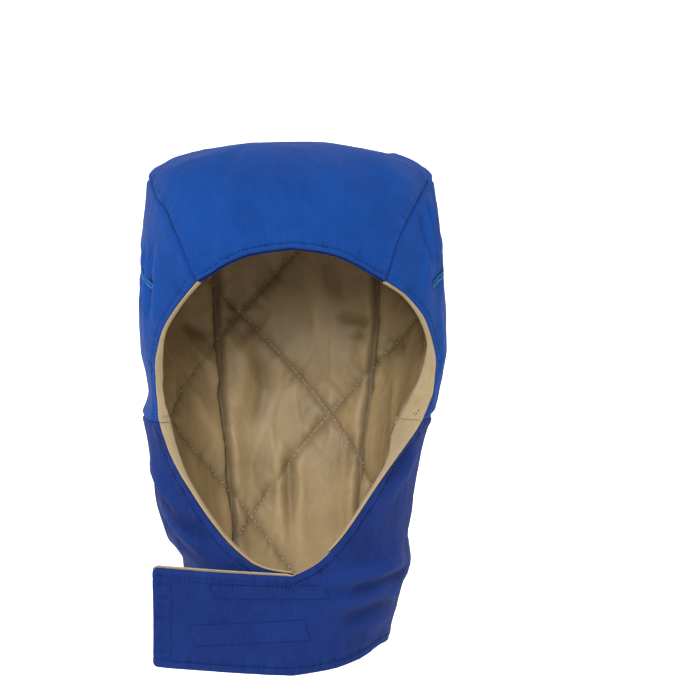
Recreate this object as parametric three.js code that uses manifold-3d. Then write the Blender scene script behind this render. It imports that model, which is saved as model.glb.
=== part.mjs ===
// A shoulder-length winter liner that is worn under a hard hat: a cloth hood with a quilted lining,
// an egg-shaped face opening, two strap slots and a chin flap that laps over to the wearer's right.
// Millimetres, +Z up, the face looks along -Y. The origin is the crown seat: the inside top of the
// lining, where the top of the head rests.

import * as THREE from "three";
import { mergeVertices } from "three/addons/utils/BufferGeometryUtils.js";
import Module from "manifold-3d";

const wasm = await Module();
wasm.setup();

// Overall sizes of the outer cloth
const bodyHeight = 386; // crown top to the lowest point of the hem, at the front
const bodyWidth = 234; // across the ears
const bodyDepth = 212; // chin line to the back of the head

// Cloth layers
const shellWall = 1.4;
const liningWall = 3.8;
const facingWall = 1.2;
const layerGap = 1.1; // air between two layers of cloth
const seamGap = 0.3; // air between two panels at a seam
const liningBridge = 13; // the lining bridges dents of the outer cloth up to this far above and below

// Crown
const crownDome = 22; // how far the crown falls from its middle to the rim above the ears
const crownDomeBack = 14; // the same at the back
const rimRadius = 7; // roll of the cloth where the crown meets the sides
const browReach = 55; // how far the brow rolls back onto the crown
const browFall = 46; // height of that roll

// Seams and edges, measured down from the crown top
const browDown = 75.6; // to the middle of the brow edge
const browArch = 25; // how far the brow edge falls to its two seams
const openingHeight = 237; // brow edge to the bottom of the face opening
const neckSeamDown = 205.6; // to the seam above the neck drape, at the sides
const neckSeamArch = 18; // how far that seam rises at the back
const hemRise = 30; // how much higher the hem is at the back than at the front

// Chin flap
const flapLength = 101.5; // from the front middle to the flap's free end
const flapCurl = 14; // how far back the free end lies
const flapTopRise = 3.5; // how far the flap's top edge climbs to its free end
const flapHemRise = 4.5; // the same for its hem
const lapAir = 0.8; // air between the two closure tapes
const lapReach = 25; // how far the end under the flap goes on past the front middle

// Facing inside the face opening, and its rolled lip
const facingWidth = 26;
const lipReach = 1.9;
const lipSink = 0.3; // the lip's front is this much behind the shell's outer face

// Strap slots
const slotLength = 52;
const slotGap = 1.4;
const slotRimWidth = 2.2;
const slotRimWall = 1;

// Closure tapes
const tapeWall = 1.1;

// Folds of the outer cloth
const foldHeight = 4;

// Turns at which the lining's back panel meets its side panels
const liningSeamLeft = 146;
const liningSeamRight = 218;

// Outline of the horizontal sections. down is a share of bodyHeight, left and right are shares of half
// the width, front and back shares of half the depth. A larger square makes a squarer section.
const sections = [
  { down: 0, left: 0.877, right: 0.868, front: 0.793, back: 0.793, square: 2.5 },
  { down: 0.048, left: 0.903, right: 0.885, front: 0.83, back: 0.83, square: 2.5 },
  { down: 0.108, left: 0.933, right: 0.925, front: 0.878, back: 0.905, square: 2.5 },
  { down: 0.172, left: 0.957, right: 0.951, front: 0.915, back: 0.962, square: 2.45 },
  { down: 0.25, left: 0.969, right: 0.976, front: 0.953, back: 1, square: 2.4 },
  { down: 0.341, left: 0.985, right: 0.995, front: 0.981, back: 1.018, square: 2.35 },
  { down: 0.405, left: 0.974, right: 0.995, front: 0.99, back: 1, square: 2.35 },
  { down: 0.45, left: 0.942, right: 0.97, front: 0.99, back: 0.972, square: 2.35 },
  { down: 0.486, left: 0.928, right: 0.949, front: 0.99, back: 0.953, square: 2.35 },
  { down: 0.507, left: 0.941, right: 0.936, front: 0.99, back: 0.95, square: 2.35 },
  { down: 0.531, left: 0.963, right: 0.909, front: 0.99, back: 0.953, square: 2.35 },
  { down: 0.576, left: 0.939, right: 0.863, front: 0.99, back: 0.925, square: 2.3 },
  { down: 0.626, left: 0.912, right: 0.824, front: 0.99, back: 0.887, square: 2.3 },
  { down: 0.667, left: 0.886, right: 0.796, front: 0.99, back: 0.858, square: 2.3 },
  { down: 0.729, left: 0.842, right: 0.765, front: 0.99, back: 0.83, square: 2.3 },
  { down: 0.769, left: 0.807, right: 0.744, front: 0.99, back: 0.811, square: 2.3 },
  { down: 0.792, left: 0.756, right: 0.76, front: 0.99, back: 0.802, square: 2.3 },
  { down: 0.815, left: 0.714, right: 0.765, front: 0.99, back: 0.802, square: 2.3 },
  { down: 0.859, left: 0.706, right: 0.718, front: 0.981, back: 0.811, square: 2.25 },
  { down: 0.903, left: 0.714, right: 0.679, front: 0.972, back: 0.821, square: 2.2 },
  { down: 0.95, left: 0.723, right: 0.638, front: 0.962, back: 0.84, square: 2.2 },
  { down: 1.011, left: 0.731, right: 0.606, front: 0.953, back: 0.858, square: 2.2 },
];

// Seam from the rim's front corners down to the brow edge. fall is a share of the height between them,
// left and right are degrees from the front middle.
const browSeam = [
  { fall: 0, left: 72, right: 68 },
  { fall: 0.16, left: 63.6, right: 59 },
  { fall: 0.3, left: 55.4, right: 53.1 },
  { fall: 0.46, left: 50.9, right: 48.1 },
  { fall: 0.64, left: 46.3, right: 43.8 },
  { fall: 0.82, left: 42.6, right: 40.8 },
  { fall: 1, left: 39.1, right: 38 },
];

// Brow edge between those seams. side is a share of the angle from the middle to the seam, fall a share
// of browArch.
const browEdge = [
  { side: 0.0, fall: 0.0 },
  { side: 0.24, fall: 0.07 },
  { side: 0.42, fall: 0.16 },
  { side: 0.56, fall: 0.28 },
  { side: 0.7, fall: 0.47 },
  { side: 0.85, fall: 0.73 },
  { side: 1.0, fall: 1.0 },
];

// Side edges of the face opening down to the neck seam. fall is a share of the height between them,
// left and right are degrees from the front middle, facing is a share of facingWidth.
const upperEdge = [
  { fall: 0, left: 39.1, right: 38, facing: 0.1 },
  { fall: 0.1, left: 43.5, right: 46.5, facing: 0.4 },
  { fall: 0.22, left: 49.1, right: 53.4, facing: 0.7 },
  { fall: 0.35, left: 54.5, right: 58.7, facing: 0.9 },
  { fall: 0.5, left: 58.6, right: 63, facing: 1 },
  { fall: 0.65, left: 62.4, right: 66, facing: 1 },
  { fall: 0.8, left: 64.2, right: 67.3, facing: 1 },
  { fall: 0.9, left: 61.5, right: 63.6, facing: 1 },
  { fall: 1, left: 58, right: 61.2, facing: 1 },
];

// The edge below the neck seam. aside is a share of the angle at that seam, left and right are shares
// of the height from the seam to the bottom of the opening.
const lowerEdge = [
  { aside: 0.0, left: 1.0, right: 1.0 },
  { aside: 0.14, left: 0.983, right: 0.93 },
  { aside: 0.28, left: 0.945, right: 0.806 },
  { aside: 0.4, left: 0.87, right: 0.664 },
  { aside: 0.5, left: 0.78, right: 0.532 },
  { aside: 0.62, left: 0.632, right: 0.385 },
  { aside: 0.75, left: 0.447, right: 0.25 },
  { aside: 0.86, left: 0.306, right: 0.15 },
  { aside: 0.95, left: 0.163, right: 0.066 },
  { aside: 1.0, left: 0.0, right: 0.0 },
];

// Height of the hem. turn is in degrees from the front middle, rise a share of hemRise.
const hemLine = [
  { turn: 0, rise: 0 },
  { turn: 20, rise: 0.14 },
  { turn: 45, rise: 0.3 },
  { turn: 90, rise: 0.36 },
  { turn: 135, rise: 0.72 },
  { turn: 180, rise: 1 },
];

// Strap slots on each side. turn is in degrees from the front middle, down a share of bodyHeight, tilt
// in degrees, climbing towards the back.
const slots = [
  { place: "front", turn: 73.5, down: 0.248, tilt: 24 },
  { place: "rear", turn: 124, down: 0.228, tilt: 18 },
];

// Closure tapes on the flap's inner face and on the end under it. down is to the tape's middle, as a
// share of the flap's height, start and end are shares of flapLength from the front middle, width is a
// share of the flap's height, slope is the fall over the tape's length as a share of its width.
const tapes = [
  { place: "upper", down: 0.16, start: -0.23, end: 0.57, width: 0.14, slope: 0 },
  { place: "lower", down: 0.57, start: -0.1, end: 0.72, width: 0.21, slope: 0.35 },
];

// Ridges that stand out of the outer cloth. turn is in degrees from the front middle over the left and
// the back, down a share of bodyHeight, lean in degrees from upright. length is a share of bodyHeight,
// width a share of bodyWidth, height a share of foldHeight.
const folds = [
  { turn: 288, down: 0.191, lean: -6, length: 0.12, width: 0.03, height: 0.7 },
  { turn: 299, down: 0.211, lean: -14, length: 0.11, width: 0.03, height: 0.6 },
  { turn: 70, down: 0.231, lean: 8, length: 0.1, width: 0.035, height: 0.5 },
  { turn: 62, down: 0.641, lean: 36, length: 0.07, width: 0.045, height: 1.0 },
  { turn: 50, down: 0.721, lean: 46, length: 0.07, width: 0.04, height: 0.9 },
  { turn: 80, down: 0.701, lean: 24, length: 0.06, width: 0.04, height: 0.8 },
  { turn: 312, down: 0.791, lean: -64, length: 0.09, width: 0.035, height: 0.9 },
  { turn: 304, down: 0.861, lean: -70, length: 0.09, width: 0.035, height: 0.8 },
  { turn: 318, down: 0.921, lean: -74, length: 0.08, width: 0.03, height: 0.5 },
  { turn: 198, down: 0.611, lean: -60, length: 0.08, width: 0.04, height: 0.9 },
  { turn: 160, down: 0.731, lean: 52, length: 0.08, width: 0.04, height: 0.6 },
  { turn: 221, down: 0.241, lean: 10, length: 0.09, width: 0.04, height: 0.7 },
  { turn: 136, down: 0.291, lean: -22, length: 0.08, width: 0.035, height: 0.6 },
  { turn: 205, down: 0.851, lean: 64, length: 0.06, width: 0.035, height: 0.7 },
];

// Places where the lining and its facing sag inwards from the shell, in the same terms
const sags = [
  { turn: 287, down: 0.56, lean: 0, length: 0.13, width: 0.09, height: 3.4 },
  { turn: 262, down: 0.56, lean: 0, length: 0.16, width: 0.22, height: 2.4 },
  { turn: 73, down: 0.57, lean: 0, length: 0.12, width: 0.085, height: 2 },
];

const twill = { color: 0x1f4fa8, roughness: 0.9 };
const thread = { color: 0x2b86c8, roughness: 0.6 };
const tan = { color: 0xb59f78, roughness: 0.85 };
const quilt = { color: 0x8f7a57, roughness: 0.7 };
const hookAndLoop = { color: 0x1a2f70, roughness: 0.95 };

const degree = Math.PI / 180;
const liningOuter = shellWall + layerGap;
const liningInner = liningOuter + liningWall;
const crownTop = liningInner; // the origin is the lining's inner top
const hookDepth = liningOuter + facingWall + 2 * seamGap; // the flap's tapes lie on its facing
const lapInset = hookDepth + tapeWall + lapAir + tapeWall + layerGap;

function clamp01(t) {
  return Math.min(1, Math.max(0, t));
}

function smoothstep(low, high, x) {
  const t = clamp01((x - low) / (high - low));
  return t * t * (3 - 2 * t);
}

// Shares from 0 to 1 in equal steps
const steps = (count) => Array.from({ length: count + 1 }, (_, i) => i / count);
const mix = (a, b, t) => a + (b - a) * t;

// Monotone cubic interpolation of one column of a table over another.
function lookUp(table, key, column, x) {
  const last = table.length - 1;
  if (x <= table[0][key]) return table[0][column];
  if (x >= table[last][key]) return table[last][column];
  let i = 0;
  while (x > table[i + 1][key]) i++;
  const slope = (k) => (table[k + 1][column] - table[k][column]) / (table[k + 1][key] - table[k][key]);
  const tangent = (k) => {
    if (k === 0) return slope(0);
    if (k === last) return slope(last - 1);
    const before = slope(k - 1);
    const after = slope(k);
    return before * after <= 0 ? 0 : (2 * before * after) / (before + after);
  };
  const step = table[i + 1][key] - table[i][key];
  const t = (x - table[i][key]) / step;
  const h00 = 2 * t ** 3 - 3 * t ** 2 + 1;
  const h10 = t ** 3 - 2 * t ** 2 + t;
  return (
    h00 * table[i][column] +
    h10 * step * tangent(i) +
    (1 - h00) * table[i + 1][column] +
    (t ** 3 - t ** 2) * step * tangent(i + 1)
  );
}

// A turn is an angle in degrees that starts at the front middle, runs over the left of the picture (90)
// and the back (180) to the right (270), and reaches the front middle again at 360, in the outer layer.
function fromFront(turn) {
  return Math.abs(((((turn + 180) % 360) + 360) % 360) - 180);
}

// How much a turn belongs to the brow, and how much to the back
const browShare = (turn) => 1 - smoothstep(32, 68, fromFront(turn));
const backShare = (turn) => smoothstep(100, 165, fromFront(turn));

// Height at which the crown's roll ends and the upright wall begins
function rimZ(turn) {
  const dome = crownDome + (crownDomeBack - crownDome) * Math.max(backShare(turn), browShare(turn));
  const roll = rimRadius + (browFall - rimRadius) * browShare(turn);
  return crownTop - dome - roll;
}

// The same without the brow's deeper roll: the level that the side panel's rows start from
function sideRimZ(turn) {
  return crownTop - crownDome - rimRadius + (crownDome - crownDomeBack) * backShare(turn);
}

function tuck(turn) {
  return lapInset * (1 - smoothstep(20, 46, turn));
}

// Radius of the outer face at a turn and height, without folds
function sectionRadius(turn, z) {
  const down = (crownTop - z) / bodyHeight;
  const side = -Math.sin(turn * degree);
  const ahead = Math.cos(turn * degree);
  const across = (lookUp(sections, "down", side < 0 ? "left" : "right", down) * bodyWidth) / 2;
  const along = (lookUp(sections, "down", ahead > 0 ? "front" : "back", down) * bodyDepth) / 2;
  const square = lookUp(sections, "down", "square", down);
  const sum = Math.abs(side / across) ** square + Math.abs(ahead / along) ** square;
  return sum ** (-1 / square) - tuck(turn);
}

// Height of a table's folds at a turn and height
function foldOut(table, turn, z) {
  let out = 0;
  for (const fold of table) {
    const across = (turn - fold.turn) * degree * (bodyWidth / 2);
    const down = crownTop - z - fold.down * bodyHeight;
    const lean = fold.lean * degree;
    const along = down * Math.cos(lean) - across * Math.sin(lean);
    const aside = across * Math.cos(lean) + down * Math.sin(lean);
    const shape = (along / (fold.length * bodyHeight)) ** 2 + (aside / (fold.width * bodyWidth)) ** 2;
    out += fold.height * foldHeight * Math.exp(-shape);
  }
  return out;
}

// Radius that the layers behind follow: they bridge the outer cloth's dents and sag inwards
function bridgedRadius(turn, z) {
  const bridged = Math.min(...[-1, 0, 1].map((way) => sectionRadius(turn, z + way * liningBridge)));
  return bridged - foldOut(sags, turn, z);
}

// Level is the way down the surface: 0 at the crown's middle, 1 at the rim, and beyond it the distance
// down the wall over wallUnit.
const wallUnit = 200;
const rollStart = 0.7; // level at which the roll begins
const domePower = 2.3;
const shiftFade = 60; // distance down the wall over which the layers' mitre at the rim fades

const levelAt = (turn, z) => 1 + (rimZ(turn) - z) / wallUnit;

function bodyPoint(turn, level, depth, radiusAt) {
  const rim = rimZ(turn);
  let radius;
  let z;
  if (level < 1) {
    const brow = browShare(turn);
    const reach = rimRadius + (browReach - rimRadius) * brow;
    const fall = rimRadius + (browFall - rimRadius) * brow;
    const roll = clamp01((level - rollStart) / (1 - rollStart)) * 90 * degree;
    const rimR = radiusAt(turn, rim);
    const flat = Math.min(level / rollStart, 1) * (rimR - reach);
    const share = (flat + reach * Math.sin(roll)) / rimR;
    radius = share * (rimR - depth);
    z = crownTop - depth - (crownTop - rim - fall) * share ** domePower - fall * (1 - Math.cos(roll));
  } else {
    const down = (level - 1) * wallUnit;
    radius = radiusAt(turn, rim - down) - depth;
    z = rim - down - depth * clamp01(1 - down / shiftFade);
  }
  return new THREE.Vector3(-radius * Math.sin(turn * degree), -radius * Math.cos(turn * degree), z);
}

// A node is a function from a depth below the outer face to a point.
const outerRadius = (turn, z) => sectionRadius(turn, z) + foldOut(folds, turn, z);
const outerNode = (turn, level) => (depth) => bodyPoint(turn, level, depth, outerRadius);
const innerNode = (turn, level) => (depth) => bodyPoint(turn, level, depth, bridgedRadius);

// The flap leaves the body at the front middle and runs on to the left in a gentle curve. reach is the
// distance along it, and below 0 it's the distance back along the body.
function lapNode(reach, z) {
  if (reach < 0) return outerAt({ turn: 360 + reach / (frontRadius(0) * degree), z });
  return (depth) => {
    const curve = (2 * flapCurl * reach) / flapLength ** 2;
    const back = (flapCurl * reach ** 2) / flapLength ** 2;
    const out = new THREE.Vector2(-curve, -1).normalize();
    const front = sectionRadius(360, z);
    return new THREE.Vector3(-reach - out.x * depth, -front + back - out.y * depth, z);
  };
}

// Heights of the seams and edges
const rowZ = (down) => crownTop - down;
const browCornerZ = rowZ(browDown + browArch);
const browSeamTopZ = sideRimZ(90);
const openingBottomZ = rowZ(browDown + openingHeight);
const neckSeamZ = (turn) => rowZ(neckSeamDown - neckSeamArch * backShare(turn));
const neckFrontZ = neckSeamZ(0);
const hemZ = (turn) => rowZ(bodyHeight) + hemRise * lookUp(hemLine, "turn", "rise", fromFront(turn));
const flapTopZ = (reach) => openingBottomZ + (flapTopRise * reach) / flapLength;
const flapHemZ = (reach) => hemZ(0) + (flapHemRise * reach) / flapLength;
const flapHeight = flapTopZ(0) - flapHemZ(0);

// Lines on the surface, as lists of points from top to bottom
const turnOf = (side, angle) => (side === "left" ? angle : 360 - angle);
const seamAngle = (side, z) =>
  lookUp(browSeam, "fall", side, (browSeamTopZ - z) / (browSeamTopZ - browCornerZ));
const neckAngle = (side) => upperEdge.at(-1)[side];

// The brow seam, down to a height above its lower end
function seamLine(side, above = 0) {
  return browSeam.map((row) => {
    const z = browSeamTopZ + (browCornerZ + above - browSeamTopZ) * row.fall;
    return { turn: turnOf(side, seamAngle(side, z)), z };
  });
}

// A point of the brow edge, or at a height above it. across is 0 at the right seam and 1 at the left.
function browPoint(across, above) {
  const side = across < 0.5 ? "right" : "left";
  const share = Math.abs(2 * across - 1);
  const angle = share * seamAngle(side, browCornerZ + above);
  const z = rowZ(browDown + browArch * lookUp(browEdge, "side", "fall", share)) + above;
  return { turn: 360 + (side === "left" ? angle : -angle), z };
}

function upperEdgeLine(side) {
  const height = (row) => mix(browCornerZ, neckFrontZ, row.fall);
  return upperEdge.map((row) => ({ turn: turnOf(side, row[side]), z: height(row) }));
}

// The edge below the neck seam, to an angle from the front middle
function lowerEdgeLine(side, end = 0) {
  return steps(lowerEdge.length - 1).map((share) => {
    const angle = mix(neckAngle(side), end, share);
    const fall = lookUp(lowerEdge, "aside", side, angle / neckAngle(side));
    return { turn: turnOf(side, angle), z: mix(neckFrontZ, openingBottomZ, fall) };
  });
}

// Moves a point level over the surface by a distance, away from the face opening
function besidePoint(point, distance) {
  const away = point.turn > 180 ? -1 : 1;
  return { turn: point.turn + (away * distance) / (sectionRadius(point.turn, point.z) * degree), z: point.z };
}

// Moves a line of points by distances. Beside moves each point level, and around moves each at right
// angles to the line, but for its first point, which moves level, and its last, which moves down.
const beside = (points, distances) => points.map((point, i) => besidePoint(point, distances[i]));

function around(points, distances) {
  const last = points.length - 1;
  return points.map((point, i) => {
    if (i === 0) return besidePoint(point, distances[i]);
    if (i === last) return { turn: point.turn, z: point.z - distances[i] };
    const unit = sectionRadius(point.turn, point.z) * degree;
    const along = (points[i + 1].turn - points[i - 1].turn) * unit;
    const down = points[i + 1].z - points[i - 1].z;
    const step = ((point.turn > 180 ? -1 : 1) * distances[i]) / Math.hypot(along, down);
    return { turn: point.turn - (down * step) / unit, z: point.z + along * step };
  });
}

const outerAt = (point) => outerNode(point.turn, levelAt(point.turn, point.z));
const innerAt = (point) => innerNode(point.turn, levelAt(point.turn, point.z));

// Solids from nodes
function geometryFrom(points, faces) {
  const geometry = new THREE.BufferGeometry();
  const flat = points.flatMap((point) => [point.x, point.y, point.z]);
  geometry.setAttribute("position", new THREE.Float32BufferAttribute(flat, 3));
  let volume = 0;
  const cross = new THREE.Vector3();
  for (const [a, b, c] of faces) volume += points[a].dot(cross.crossVectors(points[b], points[c]));
  geometry.setIndex(faces.flatMap(([a, b, c]) => (volume > 0 ? [a, b, c] : [a, c, b])));
  geometry.computeVertexNormals();
  return geometry;
}

const quad = (a, b, c, d) => [[a, b, c], [a, c, d]];

// A cloth piece between two depths: its faces outside and inside, and a wall along each open edge
function clothPiece(nodes, faces, outer, inner) {
  const count = nodes.length;
  const points = [outer, inner].flatMap((depth) => nodes.map((node) => node(depth)));
  const edges = new Set(faces.flatMap(([a, b, c]) => [[a, b], [b, c], [c, a]].map((edge) => edge.join())));
  const skin = [...faces, ...faces.map(([a, b, c]) => [a + count, c + count, b + count])];
  for (const edge of edges) {
    const [a, b] = edge.split(",").map(Number);
    if (!edges.has([b, a].join())) skin.push(...quad(b, a, a + count, b + count));
  }
  return geometryFrom(points, skin);
}

// Rows of nodes that all start on one line. A row may be shorter than its neighbour.
function sheet(rows, outer, inner) {
  const starts = rows.map((_, i) => rows.slice(0, i).reduce((sum, row) => sum + row.length, 0));
  const faces = [];
  for (let i = 0; i < rows.length - 1; i++) {
    const [here, next] = [starts[i], starts[i + 1]];
    for (let j = 0; j < Math.min(rows[i].length, rows[i + 1].length) - 1; j++) {
      faces.push(...quad(here + j, next + j, next + j + 1, here + j + 1));
    }
  }
  return clothPiece(rows.flat(), faces, outer, inner);
}

// A middle node and closed rings of nodes around it
function cap(middle, rings, outer, inner) {
  const around = rings[0].length;
  const at = (i, j) => 1 + i * around + (j % around);
  const faces = [];
  for (let j = 0; j < around; j++) {
    faces.push([0, at(0, j), at(0, j + 1)]);
    for (let i = 0; i < rings.length - 1; i++) {
      faces.push(...quad(at(i, j), at(i + 1, j), at(i + 1, j + 1), at(i, j + 1)));
    }
  }
  return clothPiece([middle, ...rings.flat()], faces, outer, inner);
}

// A bar with one polygonal cross-section for each place along it. A closed bar joins its last section
// to its first, and an open bar's ends are fans about each section's corner number 0.
function bar(stations, closed = false) {
  const sides = stations[0].length;
  const count = stations.length;
  const at = (i, k) => (i % count) * sides + (k % sides);
  const faces = [];
  for (let i = 0; i < (closed ? count : count - 1); i++) {
    for (let k = 0; k < sides; k++) {
      faces.push(...quad(at(i, k), at(i, k + 1), at(i + 1, k + 1), at(i + 1, k)));
    }
  }
  for (let k = 1; k < sides - 1 && !closed; k++) {
    faces.push([at(0, 0), at(0, k + 1), at(0, k)]);
    faces.push([at(count - 1, 0), at(count - 1, k), at(count - 1, k + 1)]);
  }
  return geometryFrom(stations.flat(), faces);
}

// The crown: a cap whose border follows the rim, the two brow seams and the brow edge, drawn in by a
// gap. above lifts the brow edge.
const crownRings = [0.3, 0.55, 0.7, 0.79, 0.87, 0.94];
const rimInset = (seamGap * (1 - rollStart)) / ((rimRadius * Math.PI) / 2);

function crownPiece(rimTurns, browSteps, node, above, outer, inner) {
  const onSurface = (point) => ({ turn: point.turn, level: levelAt(point.turn, point.z) });
  const drawnIn = (point) => onSurface(besidePoint(point, -2 * seamGap));
  const seam = (side) => seamLine(side, above).slice(1).map(drawnIn);
  const border = [
    ...rimTurns.map((turn) => ({ turn, level: 1 - rimInset })),
    ...seam("right"),
    ...steps(browSteps).slice(1, -1).map((across) => onSurface(browPoint(across, above))),
    ...seam("left").reverse(),
  ];
  const rings = crownRings.map((level) => border.map((point) => node(point.turn, level)));
  for (const share of [0.5, 1]) {
    rings.push(border.map((point) => node(point.turn, mix(crownRings.at(-1), point.level, share))));
  }
  return cap(node(180, 0), rings, outer, inner);
}

// Turns along the rim between the two brow seams
const rimTurns = (columns) => columns.map((share) => mix(browSeam[0].left, 360 - browSeam[0].right, share));

// Outer shell
const hoodColumns = steps(28);
const neckRows = steps(8);
const neckBackColumns = steps(21);
const flapColumns = steps(6);
const lapColumns = steps(3);
const browColumns = 12;

function hoodPanel() {
  const border = (side) => [...seamLine(side).slice(0, -1), ...upperEdgeLine(side)];
  const [left, right] = [border("left"), border("right")];
  const share = (point) => (browSeamTopZ - point.z) / (browSeamTopZ - neckFrontZ);
  const rows = left.map((start, i) =>
    hoodColumns.map((column) => {
      const turn = mix(start.turn, right[i].turn, column);
      return outerAt({ turn, z: mix(sideRimZ(turn), neckSeamZ(turn), share(start)) });
    }),
  );
  return sheet(rows, 0, shellWall);
}

const frontRadius = (turn) => sectionRadius(turn, openingBottomZ);
const lapTurn = lapReach / (frontRadius(0) * degree);

function neckPanel() {
  const heights = (top) => neckRows.map((row) => mix(top.z, hemZ(top.turn), row));
  const column = (top) => heights(top).map((z) => outerAt({ turn: top.turn, z }));
  const under = lapColumns.slice(0, -1).map((share) => ({ turn: -lapTurn * (1 - share), z: openingBottomZ }));
  const left = lowerEdgeLine("left").reverse();
  const right = lowerEdgeLine("right");
  const back = neckBackColumns.slice(1, -1).map((share) => {
    const turn = mix(left.at(-1).turn, right[0].turn, share);
    return { turn, z: neckSeamZ(turn) - seamGap };
  });
  left.at(-1).z -= seamGap;
  right[0].z -= seamGap;
  return sheet([...under, ...left, ...back, ...right].map(column), 0, shellWall);
}

// The neck drape's free end, which laps over the left of the picture
function chinFlap() {
  const columns = flapColumns.map((share) => {
    const reach = mix(seamGap, flapLength, share);
    return neckRows.map((row) => lapNode(reach, mix(flapTopZ(reach), flapHemZ(reach), row)));
  });
  return sheet(columns, 0, shellWall);
}

// Lining
const sideColumns = steps(7);
const backColumns = steps(6);
const browLiningColumns = 9;
const seamTurnGap = seamGap / ((bodyWidth / 2) * degree);

// Rows of a lining panel from the rim to the hem, at one turn
function liningHeights(turn) {
  const seam = [...seamLine("left").slice(0, -1), ...upperEdgeLine("left")];
  const shares = seam.map((point) => (browSeamTopZ - point.z) / (browSeamTopZ - neckFrontZ));
  const upper = shares.map((share) => mix(sideRimZ(turn), neckSeamZ(turn), share));
  return [...upper, ...neckRows.slice(1).map((row) => mix(neckSeamZ(turn), hemZ(turn), row))];
}

// A side panel: its rows start at the back seam, and the rows below the neck seam go on under the
// lower facing to the front
function sideLining(side) {
  const backTurn = side === "left" ? liningSeamLeft - seamTurnGap : liningSeamRight + seamTurnGap;
  const seam = seamLine(side).slice(0, -1);
  const edge = beside(upperEdgeLine(side), upperEdge.map((row) => row.facing * facingWidth + 2 * seamGap));
  const front = [...seam, ...edge];
  const lowerLine = lowerEdgeLine(side, side === "left" ? 0 : lapTurn);
  const lower = around(lowerLine, lowerLine.map(() => facingWidth + 2 * seamGap)).slice(1);
  if (side === "left") {
    const z = lower.at(-1).z;
    lower.push({ turn: -lapTurn / 2, z }, { turn: -lapTurn, z });
  }
  const neck = edge.length + seam.length - 1;
  const rows = front.map((point, i) =>
    sideColumns.map((share) => {
      const turn = mix(backTurn, point.turn, share);
      const ease = share ** 4 * (point.z - liningHeights(point.turn)[i]);
      return innerAt({ turn, z: liningHeights(turn)[i] + (i === 0 || i === neck ? 0 : ease) });
    }),
  );
  const tops = sideColumns.map((share) => mix(backTurn, front[neck].turn, share));
  for (const row of neckRows) {
    const nodes = tops.map((turn) => innerAt({ turn, z: mix(neckSeamZ(turn), hemZ(turn), row) }));
    nodes.push(...lower.map(({ turn, z }) => innerAt({ turn, z: mix(z, hemZ(turn), row) })));
    if (row === 0) rows[neck] = nodes;
    else rows.push(nodes);
  }
  return sheet(rows, liningOuter, liningInner);
}

function backLining() {
  const turns = backColumns.map((share) => mix(liningSeamLeft, liningSeamRight, share));
  const rows = turns.map((turn) => liningHeights(turn).map((z) => innerAt({ turn, z })));
  return sheet(rows, liningOuter, liningInner);
}

function crownLining() {
  const turns = [
    ...sideColumns.map((share) => mix(browSeam[0].left, liningSeamLeft, share)),
    ...backColumns.slice(1).map((share) => mix(liningSeamLeft, liningSeamRight, share)),
    ...sideColumns.slice(1).map((share) => mix(liningSeamRight, 360 - browSeam[0].right, share)),
  ];
  return crownPiece(turns, browLiningColumns, innerNode, facingWidth + 2 * seamGap, liningOuter, liningInner);
}

// Facing: a strip behind the shell's edge, whose front rolls out past that edge as a lip
function facing(points, widths, move) {
  const back = liningOuter + facingWall;
  const profile = [
    { lip: -lipReach, width: 0, depth: lipSink, at: outerAt },
    { lip: -2 * seamGap, width: 0, depth: lipSink, at: outerAt },
    { lip: -2 * seamGap, width: 0, depth: liningOuter, at: innerAt },
    { lip: 0, width: 0.5, depth: liningOuter, at: innerAt },
    { lip: 0, width: 1, depth: liningOuter, at: innerAt },
    { lip: 0, width: 1, depth: back, at: innerAt },
    { lip: 0, width: 0.5, depth: back, at: innerAt },
    { lip: -lipReach, width: 0, depth: back, at: innerAt },
  ];
  const distances = (corner) => widths.map((width) => corner.lip + corner.width * width);
  const lines = profile.map((corner) => move(points, distances(corner)));
  return bar(points.map((_, i) => profile.map((corner, k) => corner.at(lines[k][i])(corner.depth))));
}

function upperFacing(side) {
  const points = upperEdgeLine(side);
  points[0].z -= seamGap;
  points.at(-1).z += seamGap / 2;
  return facing(points, upperEdge.map((row) => row.facing * facingWidth), beside);
}

function lowerFacing(side) {
  const points = lowerEdgeLine(side, side === "left" ? 0 : lapTurn);
  points[0].z -= seamGap;
  return facing(points, points.map(() => facingWidth), around);
}

function browFacing() {
  const draw = (point, across) => ({ turn: point.turn + mix(2, -2, across) * seamTurnGap, z: point.z });
  const rows = steps(3).map((height) =>
    steps(browLiningColumns).map((across) => innerAt(draw(browPoint(across, height * facingWidth), across))),
  );
  return sheet(rows, liningOuter, liningOuter + facingWall);
}

// The flap's inner face. It starts on the body, to the right of the front middle.
function flapFacing() {
  const low = (reach) => (reach < 0 ? hemZ(reach / (frontRadius(0) * degree)) : flapHemZ(reach));
  const column = (reach, top) => steps(3).map((row) => lapNode(reach, mix(top, low(reach), row)));
  const start = lowerEdgeLine("right", 0).filter((point) => 360 - point.turn < lapTurn);
  const reaches = start.map((point) => (point.turn - 360) * degree * frontRadius(0));
  const columns = [column(seamGap - lapReach, lowerEdgeLine("right", lapTurn).at(-1).z)];
  start.forEach((point, i) => columns.push(column(reaches[i], point.z)));
  const flapReaches = flapColumns.slice(1).map((share) => share * flapLength);
  columns.push(...flapReaches.map((reach) => column(reach, flapTopZ(reach))));
  return sheet(columns, liningOuter, liningOuter + facingWall);
}

// A closure tape on nodes that take a reach and a height
function tapePiece(tape, nodeAt, outer) {
  const columns = steps(5).map((share) => {
    const reach = mix(tape.start, tape.end, share) * flapLength;
    const middle = openingBottomZ - (tape.down + tape.width * tape.slope * (share - 0.5)) * flapHeight;
    return [0.5, -0.5].map((row) => nodeAt(reach, middle + row * tape.width * flapHeight));
  });
  return sheet(columns, outer, outer + tapeWall);
}

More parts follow.
